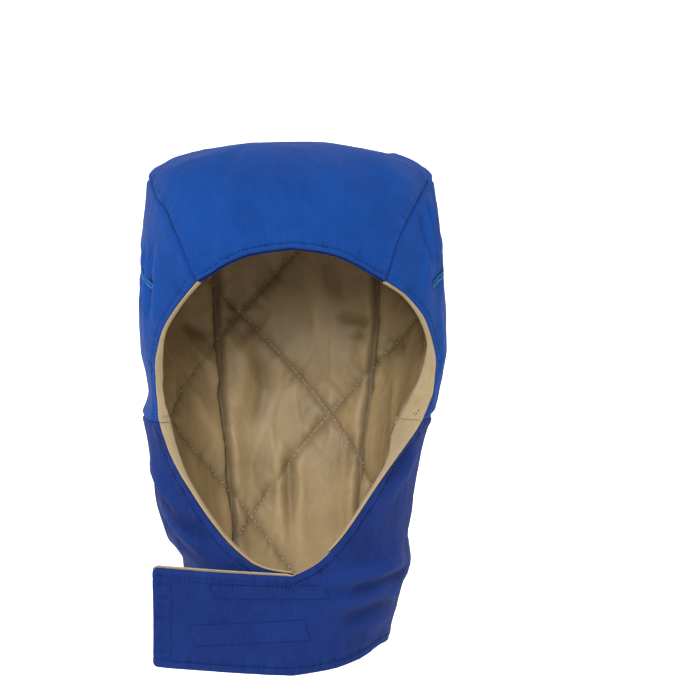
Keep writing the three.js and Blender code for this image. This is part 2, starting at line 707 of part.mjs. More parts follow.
const underNode = (reach, z) => outerAt({ turn: reach / (frontRadius(0) * degree), z });

// Strap slots
function slotFrame(side, slot) {
  const turn = turnOf(side, slot.turn);
  const z = rowZ(slot.down * bodyHeight);
  const unit = sectionRadius(turn, z) * degree;
  const away = side === "left" ? 1 : -1;
  const tilt = slot.tilt * degree;
  return (along, across, depth) => {
    const aside = away * (along * Math.cos(tilt) - across * Math.sin(tilt));
    const up = along * Math.sin(tilt) + across * Math.cos(tilt);
    return outerAt({ turn: turn + aside / unit, z: z + up })(depth);
  };
}

// Points round the slot at a distance from its edge: two straight sides and two rounded ends
function slotOutline(distance) {
  const radius = slotGap / 2 + distance;
  const half = slotLength / 2 - slotGap / 2;
  const straight = steps(3).slice(1, -1).map((share) => mix(half, -half, share));
  const arc = steps(2).map((share) => (share - 0.5) * Math.PI);
  return [
    ...arc.map((angle) => [half + radius * Math.cos(angle), radius * Math.sin(angle)]),
    ...straight.map((x) => [x, radius]),
    ...arc.map((angle) => [-half - radius * Math.cos(angle), -radius * Math.sin(angle)]),
    ...straight.map((x) => [-x, -radius]),
  ];
}

// A knife that passes through every layer at a slot, with tapered ends
function slotCutter(side, slot) {
  const frame = slotFrame(side, slot);
  const through = [-2 * foldHeight, liningInner + 2 * foldHeight];
  const half = slotLength / 2;
  const taper = slotGap / 2;
  const cuts = [-half, taper - half, -half / 3, half / 3, half - taper, half];
  return bar(
    cuts.map((along) => {
      const wide = Math.abs(along) === half ? slotGap / 5 : slotGap / 2;
      return [
        frame(along, wide, through[0]),
        frame(along, -wide, through[0]),
        frame(along, -wide, through[1]),
        frame(along, wide, through[1]),
      ];
    }),
  );
}

function slotRim(side, slot) {
  const frame = slotFrame(side, slot);
  const inside = slotOutline(0);
  const middle = slotOutline(slotRimWidth / 2);
  const outside = slotOutline(slotRimWidth);
  const lift = -layerGap;
  return bar(
    inside.map((point, i) => [
      frame(...point, lift),
      frame(...outside[i], lift),
      frame(...outside[i], lift - slotRimWall / 2),
      frame(...middle[i], lift - slotRimWall),
      frame(...point, lift - slotRimWall / 2),
    ]),
    true,
  );
}

// Boolean cuts
function toSolid(geometry) {
  const plain = geometry.clone();
  plain.deleteAttribute("normal");
  const merged = mergeVertices(plain, 1e-4);
  return new wasm.Manifold(
    new wasm.Mesh({
      numProp: 3,
      vertProperties: new Float32Array(merged.attributes.position.array),
      triVerts: new Uint32Array(merged.index.array),
    }),
  );
}

function fromSolid(solid) {
  const mesh = solid.getMesh();
  const geometry = new THREE.BufferGeometry();
  geometry.setAttribute("position", new THREE.BufferAttribute(new Float32Array(mesh.vertProperties), 3));
  geometry.setIndex(new THREE.BufferAttribute(new Uint32Array(mesh.triVerts), 1));
  geometry.computeVertexNormals();
  return geometry;
}

function withSlots(geometry, sides) {
  let solid = toSolid(geometry);
  for (const side of sides) {
    for (const slot of slots) solid = solid.subtract(toSolid(slotCutter(side, slot)));
  }
  return fromSolid(solid);
}

// The assembly
const liner = new THREE.Group();

function add(name, geometry, material) {
  const mesh = new THREE.Mesh(geometry, new THREE.MeshStandardMaterial({ ...material, metalness: 0 }));
  mesh.name = name;
  liner.add(mesh);
}

add("crown_panel", crownPiece(rimTurns(hoodColumns), browColumns, outerNode, 0, 0, shellWall), twill);
add("hood_panel", withSlots(hoodPanel(), ["left", "right"]), twill);
add("neck_panel", neckPanel(), twill);
add("chin_flap", chinFlap(), twill);
add("crown_lining", crownLining(), quilt);
add("back_lining", backLining(), quilt);
for (const side of ["left", "right"]) {
  add(`${side}_lining`, withSlots(sideLining(side), [side]), quilt);
  add(`${side}_upper_facing`, upperFacing(side), tan);
  add(`${side}_lower_facing`, lowerFacing(side), tan);
  for (const slot of slots) add(`${side}_${slot.place}_slot_rim`, slotRim(side, slot), thread);
}
add("brow_facing", browFacing(), twill);
add("flap_facing", flapFacing(), tan);
for (const tape of tapes) {
  add(`${tape.place}_hook_tape`, tapePiece(tape, lapNode, hookDepth), hookAndLoop);
  add(`${tape.place}_loop_tape`, tapePiece(tape, underNode, -layerGap - tapeWall), hookAndLoop);
}

export default liner;
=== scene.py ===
import math

import bpy
import numpy as np
from mathutils import Matrix, Vector
from mathutils.bvhtree import BVHTree
from mathutils.kdtree import KDTree


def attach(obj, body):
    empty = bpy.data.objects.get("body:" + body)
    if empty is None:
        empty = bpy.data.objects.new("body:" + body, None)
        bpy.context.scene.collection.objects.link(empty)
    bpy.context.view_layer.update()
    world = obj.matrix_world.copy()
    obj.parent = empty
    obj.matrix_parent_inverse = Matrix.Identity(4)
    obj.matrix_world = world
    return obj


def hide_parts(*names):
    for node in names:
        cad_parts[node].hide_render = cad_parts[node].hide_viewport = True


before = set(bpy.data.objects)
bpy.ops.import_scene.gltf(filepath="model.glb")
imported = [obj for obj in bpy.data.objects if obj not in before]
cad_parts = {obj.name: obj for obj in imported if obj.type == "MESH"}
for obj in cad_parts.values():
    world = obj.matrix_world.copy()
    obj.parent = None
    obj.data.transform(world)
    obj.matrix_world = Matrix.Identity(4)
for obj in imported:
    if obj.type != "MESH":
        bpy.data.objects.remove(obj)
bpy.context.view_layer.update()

# Sizes of the liner, in millimetres, as in the part's source. The surface is worked out from them again
# here, on fine grids.
MM = 0.001
BODY_HEIGHT = 386
BODY_WIDTH = 234
BODY_DEPTH = 212
SHELL_WALL = 1.4
LINING_WALL = 3.8
FACING_WALL = 1.2
LAYER_GAP = 1.1
SEAM_GAP = 0.3
LINING_BRIDGE = 13
CROWN_DOME = 22
CROWN_DOME_BACK = 14
RIM_RADIUS = 7
BROW_REACH = 55
BROW_FALL = 46
BROW_DOWN = 75.6
BROW_ARCH = 25
OPENING_HEIGHT = 237
NECK_SEAM_DOWN = 205.6
NECK_SEAM_ARCH = 18
HEM_RISE = 30
FLAP_LENGTH = 101.5
FLAP_CURL = 14
FLAP_TOP_RISE = 4.8
FLAP_HEM_RISE = 4.5
LAP_AIR = 0.8
LAP_REACH = 25
FACING_WIDTH = 26
LIP_REACH = 1.9
LIP_SINK = 0.3
SLOT_LENGTH = 52
SLOT_GAP = 1.4
TAPE_WALL = 1.1
FOLD_HEIGHT = 4
LINING_SEAM_LEFT = 146
LINING_SEAM_RIGHT = 218
WALL_UNIT = 200
ROLL_START = 0.7
DOME_POWER = 2.3
SHIFT_FADE = 60

# Sizes that only this script has
BROW_STITCH = 3.3
HEM_STITCH = 5.5
FLAP_STITCH = 8
HEM_LIFT = 3.4
HEM_LIFT_TURN = 308
HEM_LIFT_WIDTH = 15
CORNER_DROP = 2.2
CORNER_REACH = 4
QUILT_WIDTH = 150.0
QUILT_HEIGHT = 161.6
QUILT_TURN = 156.7
QUILT_Z = -128.1
# Radii, in millimetres, that turn degrees into lengths on the hood, the neck drape and the lining
HOOD_RADIUS = 108
NECK_RADIUS = 104
LINING_RADIUS = 102
FAR = 99.0

LINING_OUTER = SHELL_WALL + LAYER_GAP
LINING_INNER = LINING_OUTER + LINING_WALL
CROWN_TOP = LINING_INNER
HOOK_DEPTH = LINING_OUTER + FACING_WALL + 2 * SEAM_GAP
LAP_INSET = HOOK_DEPTH + TAPE_WALL + LAP_AIR + TAPE_WALL + LAYER_GAP

# down, left, right, front, back, square
SECTIONS = np.array([
    (0, 0.877, 0.868, 0.793, 0.793, 2.5),
    (0.048, 0.903, 0.885, 0.83, 0.83, 2.5),
    (0.108, 0.933, 0.925, 0.878, 0.905, 2.5),
    (0.172, 0.957, 0.951, 0.915, 0.962, 2.45),
    (0.25, 0.969, 0.976, 0.953, 1, 2.4),
    (0.341, 0.985, 0.995, 0.981, 1.018, 2.35),
    (0.405, 0.974, 0.995, 0.99, 1, 2.35),
    (0.45, 0.942, 0.97, 0.99, 0.972, 2.35),
    (0.486, 0.928, 0.949, 0.99, 0.953, 2.35),
    (0.507, 0.941, 0.936, 0.99, 0.95, 2.35),
    (0.531, 0.963, 0.909, 0.99, 0.953, 2.35),
    (0.576, 0.939, 0.863, 0.99, 0.925, 2.3),
    (0.626, 0.912, 0.824, 0.99, 0.887, 2.3),
    (0.667, 0.886, 0.796, 0.99, 0.858, 2.3),
    (0.729, 0.842, 0.765, 0.99, 0.83, 2.3),
    (0.769, 0.807, 0.744, 0.99, 0.811, 2.3),
    (0.792, 0.756, 0.76, 0.99, 0.802, 2.3),
    (0.815, 0.714, 0.765, 0.99, 0.802, 2.3),
    (0.859, 0.706, 0.718, 0.981, 0.811, 2.25),
    (0.903, 0.714, 0.679, 0.972, 0.821, 2.2),
    (0.95, 0.723, 0.638, 0.962, 0.84, 2.2),
    (1.011, 0.731, 0.606, 0.953, 0.858, 2.2),
])

# fall, left, right
BROW_SEAM = np.array([
    (0, 72, 68),
    (0.16, 63.6, 59),
    (0.3, 55.4, 53.1),
    (0.46, 50.9, 48.1),
    (0.64, 46.3, 43.8),
    (0.82, 42.6, 40.8),
    (1, 39.1, 38),
])

# side, fall
BROW_EDGE = np.array([(0, 0), (0.24, 0.07), (0.42, 0.16), (0.56, 0.28), (0.7, 0.47), (0.85, 0.73), (1, 1)])

# fall, left, right, facing
UPPER_EDGE = np.array([
    (0, 39.1, 38, 0.1),
    (0.1, 43.5, 46.5, 0.4),
    (0.22, 49.1, 53.4, 0.7),
    (0.35, 54.5, 58.7, 0.9),
    (0.5, 58.6, 63, 1),
    (0.65, 62.4, 66, 1),
    (0.8, 64.2, 67.3, 1),
    (0.9, 61.5, 63.6, 1),
    (1, 58, 61.2, 1),
])

# aside, left, right
LOWER_EDGE = np.array([
    (0.0, 1.0, 1.0),
    (0.14, 0.983, 0.93),
    (0.28, 0.945, 0.806),
    (0.4, 0.87, 0.664),
    (0.5, 0.78, 0.532),
    (0.62, 0.632, 0.385),
    (0.75, 0.447, 0.25),
    (0.86, 0.306, 0.15),
    (0.95, 0.163, 0.066),
    (1.0, 0.0, 0.0),
])

# turn, rise
HEM_LINE = np.array([(0, 0), (20, 0.14), (45, 0.3), (90, 0.36), (135, 0.72), (180, 1)])

# place, turn, down, tilt
SLOTS = [("front", 73.5, 0.248, 24), ("rear", 124, 0.228, 18)]

# place, down, start, end, width, slope
TAPES = [("upper", 0.16, -0.23, 0.57, 0.14, 0), ("lower", 0.57, -0.1, 0.72, 0.21, 0.35)]

# The source's folds: turn, down, lean, length, width, height
FOLDS = [
    (288, 0.191, -6, 0.12, 0.03, 0.7),
    (299, 0.211, -14, 0.11, 0.03, 0.6),
    (70, 0.231, 8, 0.1, 0.035, 0.5),
    (62, 0.641, 36, 0.07, 0.045, 1.0),
    (50, 0.721, 46, 0.07, 0.04, 0.9),
    (80, 0.701, 24, 0.06, 0.04, 0.8),
    (312, 0.791, -64, 0.09, 0.035, 0.9),
    (304, 0.861, -70, 0.09, 0.035, 0.8),
    (318, 0.921, -74, 0.08, 0.03, 0.5),
    (198, 0.611, -60, 0.08, 0.04, 0.9),
    (160, 0.731, 52, 0.08, 0.04, 0.6),
    (221, 0.241, 10, 0.09, 0.04, 0.7),
    (136, 0.291, -22, 0.08, 0.035, 0.6),
    (205, 0.851, 64, 0.06, 0.035, 0.7),
]

# Where the lining sags inwards, in the same terms
SAGS = [
    (303, 0.58, 0, 0.10, 0.085, 2.8),
    (57, 0.6, 0, 0.10, 0.08, 0.9),
    (287, 0.56, 0, 0.13, 0.09, 3.4),
    (262, 0.56, 0, 0.16, 0.22, 2.4),
    (73, 0.57, 0, 0.12, 0.085, 2.0),
]

# Drapes of the shell and of the lining. Each has a height and a width in millimetres, and the (turn, z)
# places that its line runs through.
SHELL_DRAPES = [
    (2.6, 6.0, [(83, -232), (72, -236), (60, -246), (50, -262)]),
    (-2.2, 5.0, [(86, -240), (74, -246), (62, -257), (52, -273)]),
    (1.6, 4.0, [(70, -60), (73, -84), (77, -108), (80, -130)]),
    (-1.4, 3.5, [(66, -58), (69, -84), (72, -108), (75, -130)]),
    (3.9, 6.0, [(290, -304), (314, -305), (327, -308), (343, -311), (353, -313)]),
    (-2.7, 4.5, [(292, -313), (314, -313), (327, -316), (343, -320)]),
    (3.3, 6.0, [(294, -325), (315, -324), (326, -326), (344, -330), (352, -331)]),
    (-2.2, 4.5, [(298, -335), (316, -334), (328, -337), (344, -341)]),
    (-2.4, 5.0, [(299, -214), (309, -227), (316, -237), (324, -250)]),
    (2.1, 5.0, [(294, -216), (303, -233), (312, -247), (322, -262)]),
    (-3.0, 6.0, [(81, -244), (68, -254), (53, -267), (42, -276), (30, -294)]),
    (2.7, 6.0, [(78, -256), (65, -268), (50, -281), (38, -292)]),
    (-2.4, 5.0, [(80, -270), (64, -283), (48, -293), (36, -302)]),
    (1.5, 5.0, [(283, -349), (322, -346), (340, -348)]),
    (2.0, 4.0, [(57, -66), (59, -84), (59, -110), (61, -132)]),
    (-1.4, 3.0, [(61, -60), (63, -84), (63, -110), (65, -130)]),
    (1.5, 3.5, [(66, -48), (67, -74), (67, -110), (68, -147)]),
    (2.2, 3.0, [(296, -31), (294, -55), (291, -84)]),
    (-1.5, 2.5, [(298, -33), (296, -57), (293.6, -86)]),
    (2.0, 3.0, [(301, -37), (298, -62), (296, -90)]),
    (-1.4, 2.5, [(303.5, -42), (301, -64), (298, -92)]),
    (1.7, 4.0, [(293, -111), (290, -141), (285, -179)]),
    (-1.5, 4.0, [(52, -142), (60, -190), (66, -203)]),
    (1.4, 9.0, [(340, -76), (354, -68), (8, -70), (22, -77)]),
    (2.4, 6.0, [(120, -196), (140, -205), (165, -216)]),
    (-2.1, 5.0, [(126, -205), (146, -214), (168, -226)]),
    (2.2, 6.0, [(196, -190), (215, -205), (238, -218)]),
    (2.0, 5.0, [(226, -84), (240, -92), (252, -112)]),
    (-1.8, 4.0, [(229, -92), (243, -101), (254, -122)]),
    (1.8, 5.0, [(130, -96), (118, -112), (108, -136)]),
    (2.4, 7.0, [(150, -250), (170, -268), (186, -296), (192, -330)]),
    (-2.0, 5.0, [(206, -236), (222, -262), (230, -300), (232, -335)]),
    (2.2, 6.0, [(250, -232), (258, -270), (262, -318)]),
    (-2.1, 5.0, [(104, -240), (112, -276), (122, -322)]),
    (2.1, 6.0, [(96, -262), (101, -300), (108, -340)]),
]
CROWN_DRAPES = [
    (1.4, 9.0, [(-70, -58), (-86, -30), (-89, 0), (-84, 26)]),
    (1.3, 16.0, [(-66, -40), (-70, -10), (-66, 24)]),
    (0.9, 6.0, [(90, -34), (97, -14), (98, 4)]),
    (2.8, 4.5, [(51, -57), (68, -40), (75, -22), (86, -12), (96, -11), (105, -12)]),
    (-2.6, 3.8, [(78, -8), (87, -3), (96, -2), (104, -3)]),
    (1.0, 9.0, [(-60, -20), (-30, -44), (10, -50), (40, -38)]),
    (-0.9, 8.0, [(-20, 60), (20, 40), (60, 44)]),
    (0.9, 9.0, [(-70, 30), (-40, 52), (-10, 70)]),
]
LINING_DRAPES = [
    (-3.0, 4.5, [(199, -129), (206, -133), (213, -136), (218, -137)]),
    (-2.7, 4.0, [(206, -143), (212, -147), (218, -150)]),
    (-2.7, 5.4, [(126, -131), (134, -141), (144, -148)]),
    (2.7, 5.4, [(176, -222), (172, -262), (175, -326)]),
    (-2.4, 4.5, [(180, -226), (178, -264), (180, -326)]),
    (2.4, 5.4, [(183, -230), (185, -278), (184, -330)]),
    (2.7, 6.3, [(155, -143), (156, -174), (152, -214)]),
    (2.2, 7.2, [(189, -89), (192, -119), (192, -159)]),
    (-2.2, 5.4, [(196, -80), (199, -106), (203, -126)]),
    (2.2, 5.4, [(137, -153), (142, -178), (147, -194)]),
    (-2.7, 5.4, [(163, -155), (166, -190), (159, -222)]),
    (-2.2, 4.5, [(220, -142), (230, -153), (240, -157)]),
    (2.0, 5.4, [(131, -184), (137, -212), (144, -229)]),
    (-2.4, 4.5, [(169, -119), (166, -135), (160, -145), (150, -158)]),
    (2.0, 5.4, [(232, -170), (238, -196), (252, -228)]),
]


def clamp01(t):
    return np.clip(t, 0, 1)


def smoothstep(low, high, x):
    t = clamp01((np.asarray(x, float) - low) / (high - low))
    return t * t * (3 - 2 * t)


def mix(a, b, t):
    return a + (b - a) * t


def bell(x, width, middle=0):
    return np.exp(-(((x - middle) / width) ** 2))


def flat_uv(turn, z, radius):
    return np.stack([np.radians(turn) * radius, z], axis=-1)


class Curve:
    """Monotone cubic interpolation of one column of a table over another."""

    def __init__(self, xs, ys):
        self.x, self.y = np.array(xs, float), np.array(ys, float)
        slope = np.diff(self.y) / np.diff(self.x)
        before, after = slope[:-1], slope[1:]
        total = np.where(before + after == 0, 1, before + after)
        inner = np.where(before * after <= 0, 0, 2 * before * after / total)
        self.tangent = np.concatenate([slope[:1], inner, slope[-1:]])

    def __call__(self, x):
        x = np.clip(np.asarray(x, float), self.x[0], self.x[-1])
        i = np.clip(np.searchsorted(self.x, x, side="right") - 1, 0, len(self.x) - 2)
        step = self.x[i + 1] - self.x[i]
        t = (x - self.x[i]) / step
        h00 = 2 * t**3 - 3 * t**2 + 1
        h10 = t**3 - 2 * t**2 + t
        rest = (1 - h00) * self.y[i + 1] + (t**3 - t**2) * step * self.tangent[i + 1]
        return h00 * self.y[i] + h10 * step * self.tangent[i] + rest


def curve_of(table, column):
    return Curve(table[:, 0], table[:, column])


def side_curves(table):
    return {"left": curve_of(table, 1), "right": curve_of(table, 2)}


SECTION = [curve_of(SECTIONS, k) for k in range(1, 6)]
SEAM = side_curves(BROW_SEAM)
BROW = curve_of(BROW_EDGE, 1)
UPPER = side_curves(UPPER_EDGE)
FACING = curve_of(UPPER_EDGE, 3)
LOWER = side_curves(LOWER_EDGE)
HEM = curve_of(HEM_LINE, 1)


# The body's surface. A turn is in degrees from the front middle over the left of the picture (90), the
# back (180) and the right (270) to 360.
def from_front(turn):
    return np.abs((np.asarray(turn, float) + 180) % 360 - 180)


def brow_share(turn):
    return 1 - smoothstep(32, 68, from_front(turn))


def back_share(turn):
    return smoothstep(100, 165, from_front(turn))


def rim_z(turn):
    share = np.maximum(back_share(turn), brow_share(turn))
    dome = CROWN_DOME + (CROWN_DOME_BACK - CROWN_DOME) * share
    return CROWN_TOP - dome - RIM_RADIUS - (BROW_FALL - RIM_RADIUS) * brow_share(turn)


def side_rim_z(turn):
    return CROWN_TOP - CROWN_DOME - RIM_RADIUS + (CROWN_DOME - CROWN_DOME_BACK) * back_share(turn)


def section_radius(turn, z):
    turn, z = np.broadcast_arrays(np.asarray(turn, float), np.asarray(z, float))
    down = (CROWN_TOP - z) / BODY_HEIGHT
    side, ahead = -np.sin(np.radians(turn)), np.cos(np.radians(turn))
    left, right, front, back, square = (curve(down) for curve in SECTION)
    across = np.where(side < 0, left, right) * BODY_WIDTH / 2
    along = np.where(ahead > 0, front, back) * BODY_DEPTH / 2
    total = np.abs(side / across) ** square + np.abs(ahead / along) ** square
    past = turn > 360
    inset = np.where(past, smoothstep(388, 398, turn), 1)
    inset = inset * (1 - smoothstep(20, 46, np.where(past, turn - 360, turn)))
    return total ** (-1 / square) - LAP_INSET * inset


def bridged_radius(turn, z):
    bridged = np.min([section_radius(turn, z + way * LINING_BRIDGE) for way in (-1, 0, 1)], axis=0)
    return bridged - folds_at(turn, z, SAGS)


def folds_at(turn, z, table):
    out = 0.0
    for place, down_share, lean, length, width, height in table:
        across = np.radians(turn - place) * BODY_WIDTH / 2
        down = CROWN_TOP - z - down_share * BODY_HEIGHT
        along = down * math.cos(math.radians(lean)) - across * math.sin(math.radians(lean))
        aside = across * math.cos(math.radians(lean)) + down * math.sin(math.radians(lean))
        shape = (along / (length * BODY_HEIGHT)) ** 2 + (aside / (width * BODY_WIDTH)) ** 2
        out = out + height * FOLD_HEIGHT * np.exp(-shape)
    return out


def outer_radius(turn, z):
    return section_radius(turn, z) + folds_at(turn, z, FOLDS)


def level_at(turn, z):
    return 1 + (rim_z(turn) - z) / WALL_UNIT


def body_point(turn, level, depth, radius_at):
    turn, level, depth = np.broadcast_arrays(*(np.asarray(a, float) for a in (turn, level, depth)))
    rim, brow = rim_z(turn), brow_share(turn)
    reach = RIM_RADIUS + (BROW_REACH - RIM_RADIUS) * brow
    fall = RIM_RADIUS + (BROW_FALL - RIM_RADIUS) * brow
    roll = np.radians(clamp01((level - ROLL_START) / (1 - ROLL_START)) * 90)
    rim_r = radius_at(turn, rim)
    share = (np.minimum(level / ROLL_START, 1) * (rim_r - reach) + reach * np.sin(roll)) / rim_r
    top_z = CROWN_TOP - depth - (CROWN_TOP - rim - fall) * share**DOME_POWER - fall * (1 - np.cos(roll))
    down = np.maximum(level - 1, 0) * WALL_UNIT
    wall_z = rim - down - depth * clamp01(1 - down / SHIFT_FADE)
    top = level < 1
    radius = np.where(top, share * (rim_r - depth), radius_at(turn, rim - down) - depth)
    z = np.where(top, top_z, wall_z)
    return np.stack([-radius * np.sin(np.radians(turn)), -radius * np.cos(np.radians(turn)), z], axis=-1)


def outer_at(turn, z, depth):
    return body_point(turn, level_at(turn, z), depth, outer_radius)


def inner_at(turn, z, depth):
    return body_point(turn, level_at(turn, z), depth, bridged_radius)


def lap_at(reach, z, depth):
    reach, z, depth = np.broadcast_arrays(*(np.asarray(a, float) for a in (reach, z, depth)))
    curve = 2 * FLAP_CURL * reach / FLAP_LENGTH**2
    back = FLAP_CURL * reach**2 / FLAP_LENGTH**2
    size = np.hypot(curve, 1)
    front = section_radius(360, z)
    return np.stack([-reach + curve / size * depth, -front + back + depth / size, z], axis=-1)


# Heights of the seams and edges
def row_z(down):
    return CROWN_TOP - down


BROW_CORNER_Z = row_z(BROW_DOWN + BROW_ARCH)
BROW_SEAM_TOP_Z = float(side_rim_z(90))
OPENING_BOTTOM_Z = row_z(BROW_DOWN + OPENING_HEIGHT)


def neck_seam_z(turn):
    return row_z(NECK_SEAM_DOWN - NECK_SEAM_ARCH * back_share(turn))


def upper_z(turn, row):
    """Heights between the rim and the neck seam."""
    return mix(side_rim_z(turn), neck_seam_z(turn), row)


NECK_FRONT_Z = float(neck_seam_z(0))
FRONT_RADIUS = float(section_radius(0, OPENING_BOTTOM_Z))
LAP_TURN = math.degrees(LAP_REACH / FRONT_RADIUS)


def hem_z(turn):
    lifted = HEM_LIFT * bell(np.asarray(turn, float), HEM_LIFT_WIDTH, HEM_LIFT_TURN)
    return row_z(BODY_HEIGHT) + HEM_RISE * HEM(from_front(turn)) + lifted


def corner_round(reach):
    """How far the flap's top and hem draw in at its rounded end."""
    return CORNER_DROP * clamp01(1 - (FLAP_LENGTH - np.asarray(reach, float)) / CORNER_REACH) ** 2


def flap_top_z(reach):
    return OPENING_BOTTOM_Z + FLAP_TOP_RISE * reach / FLAP_LENGTH - corner_round(reach)


def flap_hem_z(reach):
    return float(hem_z(0)) + FLAP_HEM_RISE * reach / FLAP_LENGTH + corner_round(reach)


FLAP_HEIGHT = flap_top_z(0) - flap_hem_z(0)


def turn_of(side, angle):
    return angle if side == "left" else 360 - angle


def seam_angle(side, z):
    return SEAM[side]((BROW_SEAM_TOP_Z - z) / (BROW_SEAM_TOP_Z - BROW_CORNER_Z))


def neck_angle(side):
    return float(UPPER[side](1))


def spread(count, length, edge=(0, 0.35, 0.9, 1.7, 2.8)):
    """Shares from 0 to 1, closer together within a few millimetres of both ends of a length."""
    ends = np.array(edge) / length
    middle = np.linspace(ends[-1], 1 - ends[-1], count - 2 * len(edge) + 2)[1:-1]
    return np.concatenate([ends, middle, 1 - ends[::-1]])


def border_steps(count, length):
    """Shares from 0 to 1, closer together within a few millimetres of the far end of a length."""
    shares = 1 - spread(2 * count, 2 * length)[:count][::-1] * 2
    return (shares - shares[0]) / (shares[-1] - shares[0])


def seam_line(side, shares, above=0.0):
    z = BROW_SEAM_TOP_Z + (BROW_CORNER_Z + above - BROW_SEAM_TOP_Z) * shares
    return turn_of(side, seam_angle(side, z)), z


def brow_line(across, above=0.0):
    share = np.abs(2 * across - 1)
    left = across >= 0.5
    corner = BROW_CORNER_Z + above
    angle = share * np.where(left, seam_angle("left", corner), -seam_angle("right", corner))
    return 360 + angle, row_z(BROW_DOWN + BROW_ARCH * BROW(share)) + above


def upper_line(side, shares):
    return turn_of(side, UPPER[side](shares)), mix(BROW_CORNER_Z, NECK_FRONT_Z, shares)


def lower_line(side, shares, end=0.0):
    angle = mix(neck_angle(side), end, shares)
    fall = LOWER[side](angle / neck_angle(side))
    return turn_of(side, angle), mix(NECK_FRONT_Z, OPENING_BOTTOM_Z, fall)


def beside(turn, z, distance):
    away = np.where(np.asarray(turn) > 180, -1, 1)
    return turn + np.degrees(away * distance / section_radius(turn, z)), z + 0 * turn


def around(turn, z, distance):
    """Moves a line at right angles to itself, away from the opening. Its first point moves level and its
    last one down."""
    unit = np.radians(section_radius(turn, z))
    along, down = np.gradient(turn) * unit, np.gradient(z)
    step = np.where(turn > 180, -1, 1) * distance / np.hypot(along, down)
    new_turn, new_z = turn - down * step / unit, z + along * step
    new_turn[0], new_z[0] = beside(turn[0], z[0], np.broadcast_to(distance, turn.shape)[0])
    new_turn[-1], new_z[-1] = turn[-1], z[-1] - np.broadcast_to(distance, turn.shape)[-1]
    return new_turn, new_z


# Relief of the cloth
def waves(points, size, seed, count=14):
    """Smooth seeded noise from about -1 to 1, with features about as long as size, in millimetres."""
    rng = np.random.default_rng(seed)
    ways = rng.normal(size=(count, 3))
    ways /= np.linalg.norm(ways, axis=1, keepdims=True)
    ways *= 2 * math.pi / (np.asarray(size) * rng.uniform(0.7, 1.6, (count, 1)))
    total = np.zeros(points.shape[:-1])
    for way, phase in zip(ways, rng.uniform(0, 2 * math.pi, count)):
        total += np.cos(points @ way + phase)
    return total * math.sqrt(2 / count) / 1.6


class Line:
    """A line on the surface: how far points are from it, and where along it their nearest point is."""

    def __init__(self, points, step=0.5):
        points = np.asarray(points, float)
        length = np.concatenate([[0], np.cumsum(np.linalg.norm(np.diff(points, axis=0), axis=1))])
        self.along = np.arange(0, length[-1] + step, step).clip(max=length[-1])
        self.points = np.stack([np.interp(self.along, length, points[:, k]) for k in range(3)], axis=-1)
        self.tree = KDTree(len(self.points))
        for i, point in enumerate(self.points):
            self.tree.insert(point, i)
        self.tree.balance()
        self.low, self.high = self.points.min(0) - 45, self.points.max(0) + 45

    def near(self, points):
        flat = points.reshape(-1, 3)
        far, along = np.full(len(flat), 45.0), np.zeros(len(flat))
        inside = np.flatnonzero(((flat > self.low) & (flat < self.high)).all(axis=1))
        for k in inside:
            _, i, distance = self.tree.find(flat[k])
            far[k], along[k] = distance, self.along[i]
        return far.reshape(points.shape[:-1]), along.reshape(points.shape[:-1])


def pucker(distance, along, seed, size=9.0, reach=7.0):
    """Small ripples that a row of stitches draws up across itself."""
    rng = np.random.default_rng(seed)
    wave = sum(
        np.sin(2 * math.pi * along / (size * scale) + phase)
        for scale, phase in zip((0.62, 1.0, 1.7, 2.9), rng.uniform(0, 6.28, 4))
    )
    return 0.4 * wave * np.exp(-distance / reach)


# Meshes
def link_object(name, data):
    item = bpy.data.objects.new(name, data)
    bpy.context.scene.collection.objects.link(item)
    return item


def mesh_piece(name, points, faces, uv, relief):
    """A smooth mesh of points in millimetres, with a uv and a relief for each point."""
    mesh = bpy.data.meshes.new(name)
    mesh.from_pydata((points * MM).tolist(), [], faces)
    corners = np.zeros(len(mesh.loops), int)
    mesh.loops.foreach_get("vertex_index", corners)
    layer = mesh.uv_layers.new(name="UVMap")
    layer.data.foreach_set("uv", (uv * MM)[corners].ravel().astype(np.float32))
    attribute = mesh.attributes.new("relief", "FLOAT", "POINT")
    attribute.data.foreach_set("value", relief.astype(np.float32))
    mesh.shade_smooth()
    return link_object(name, mesh)


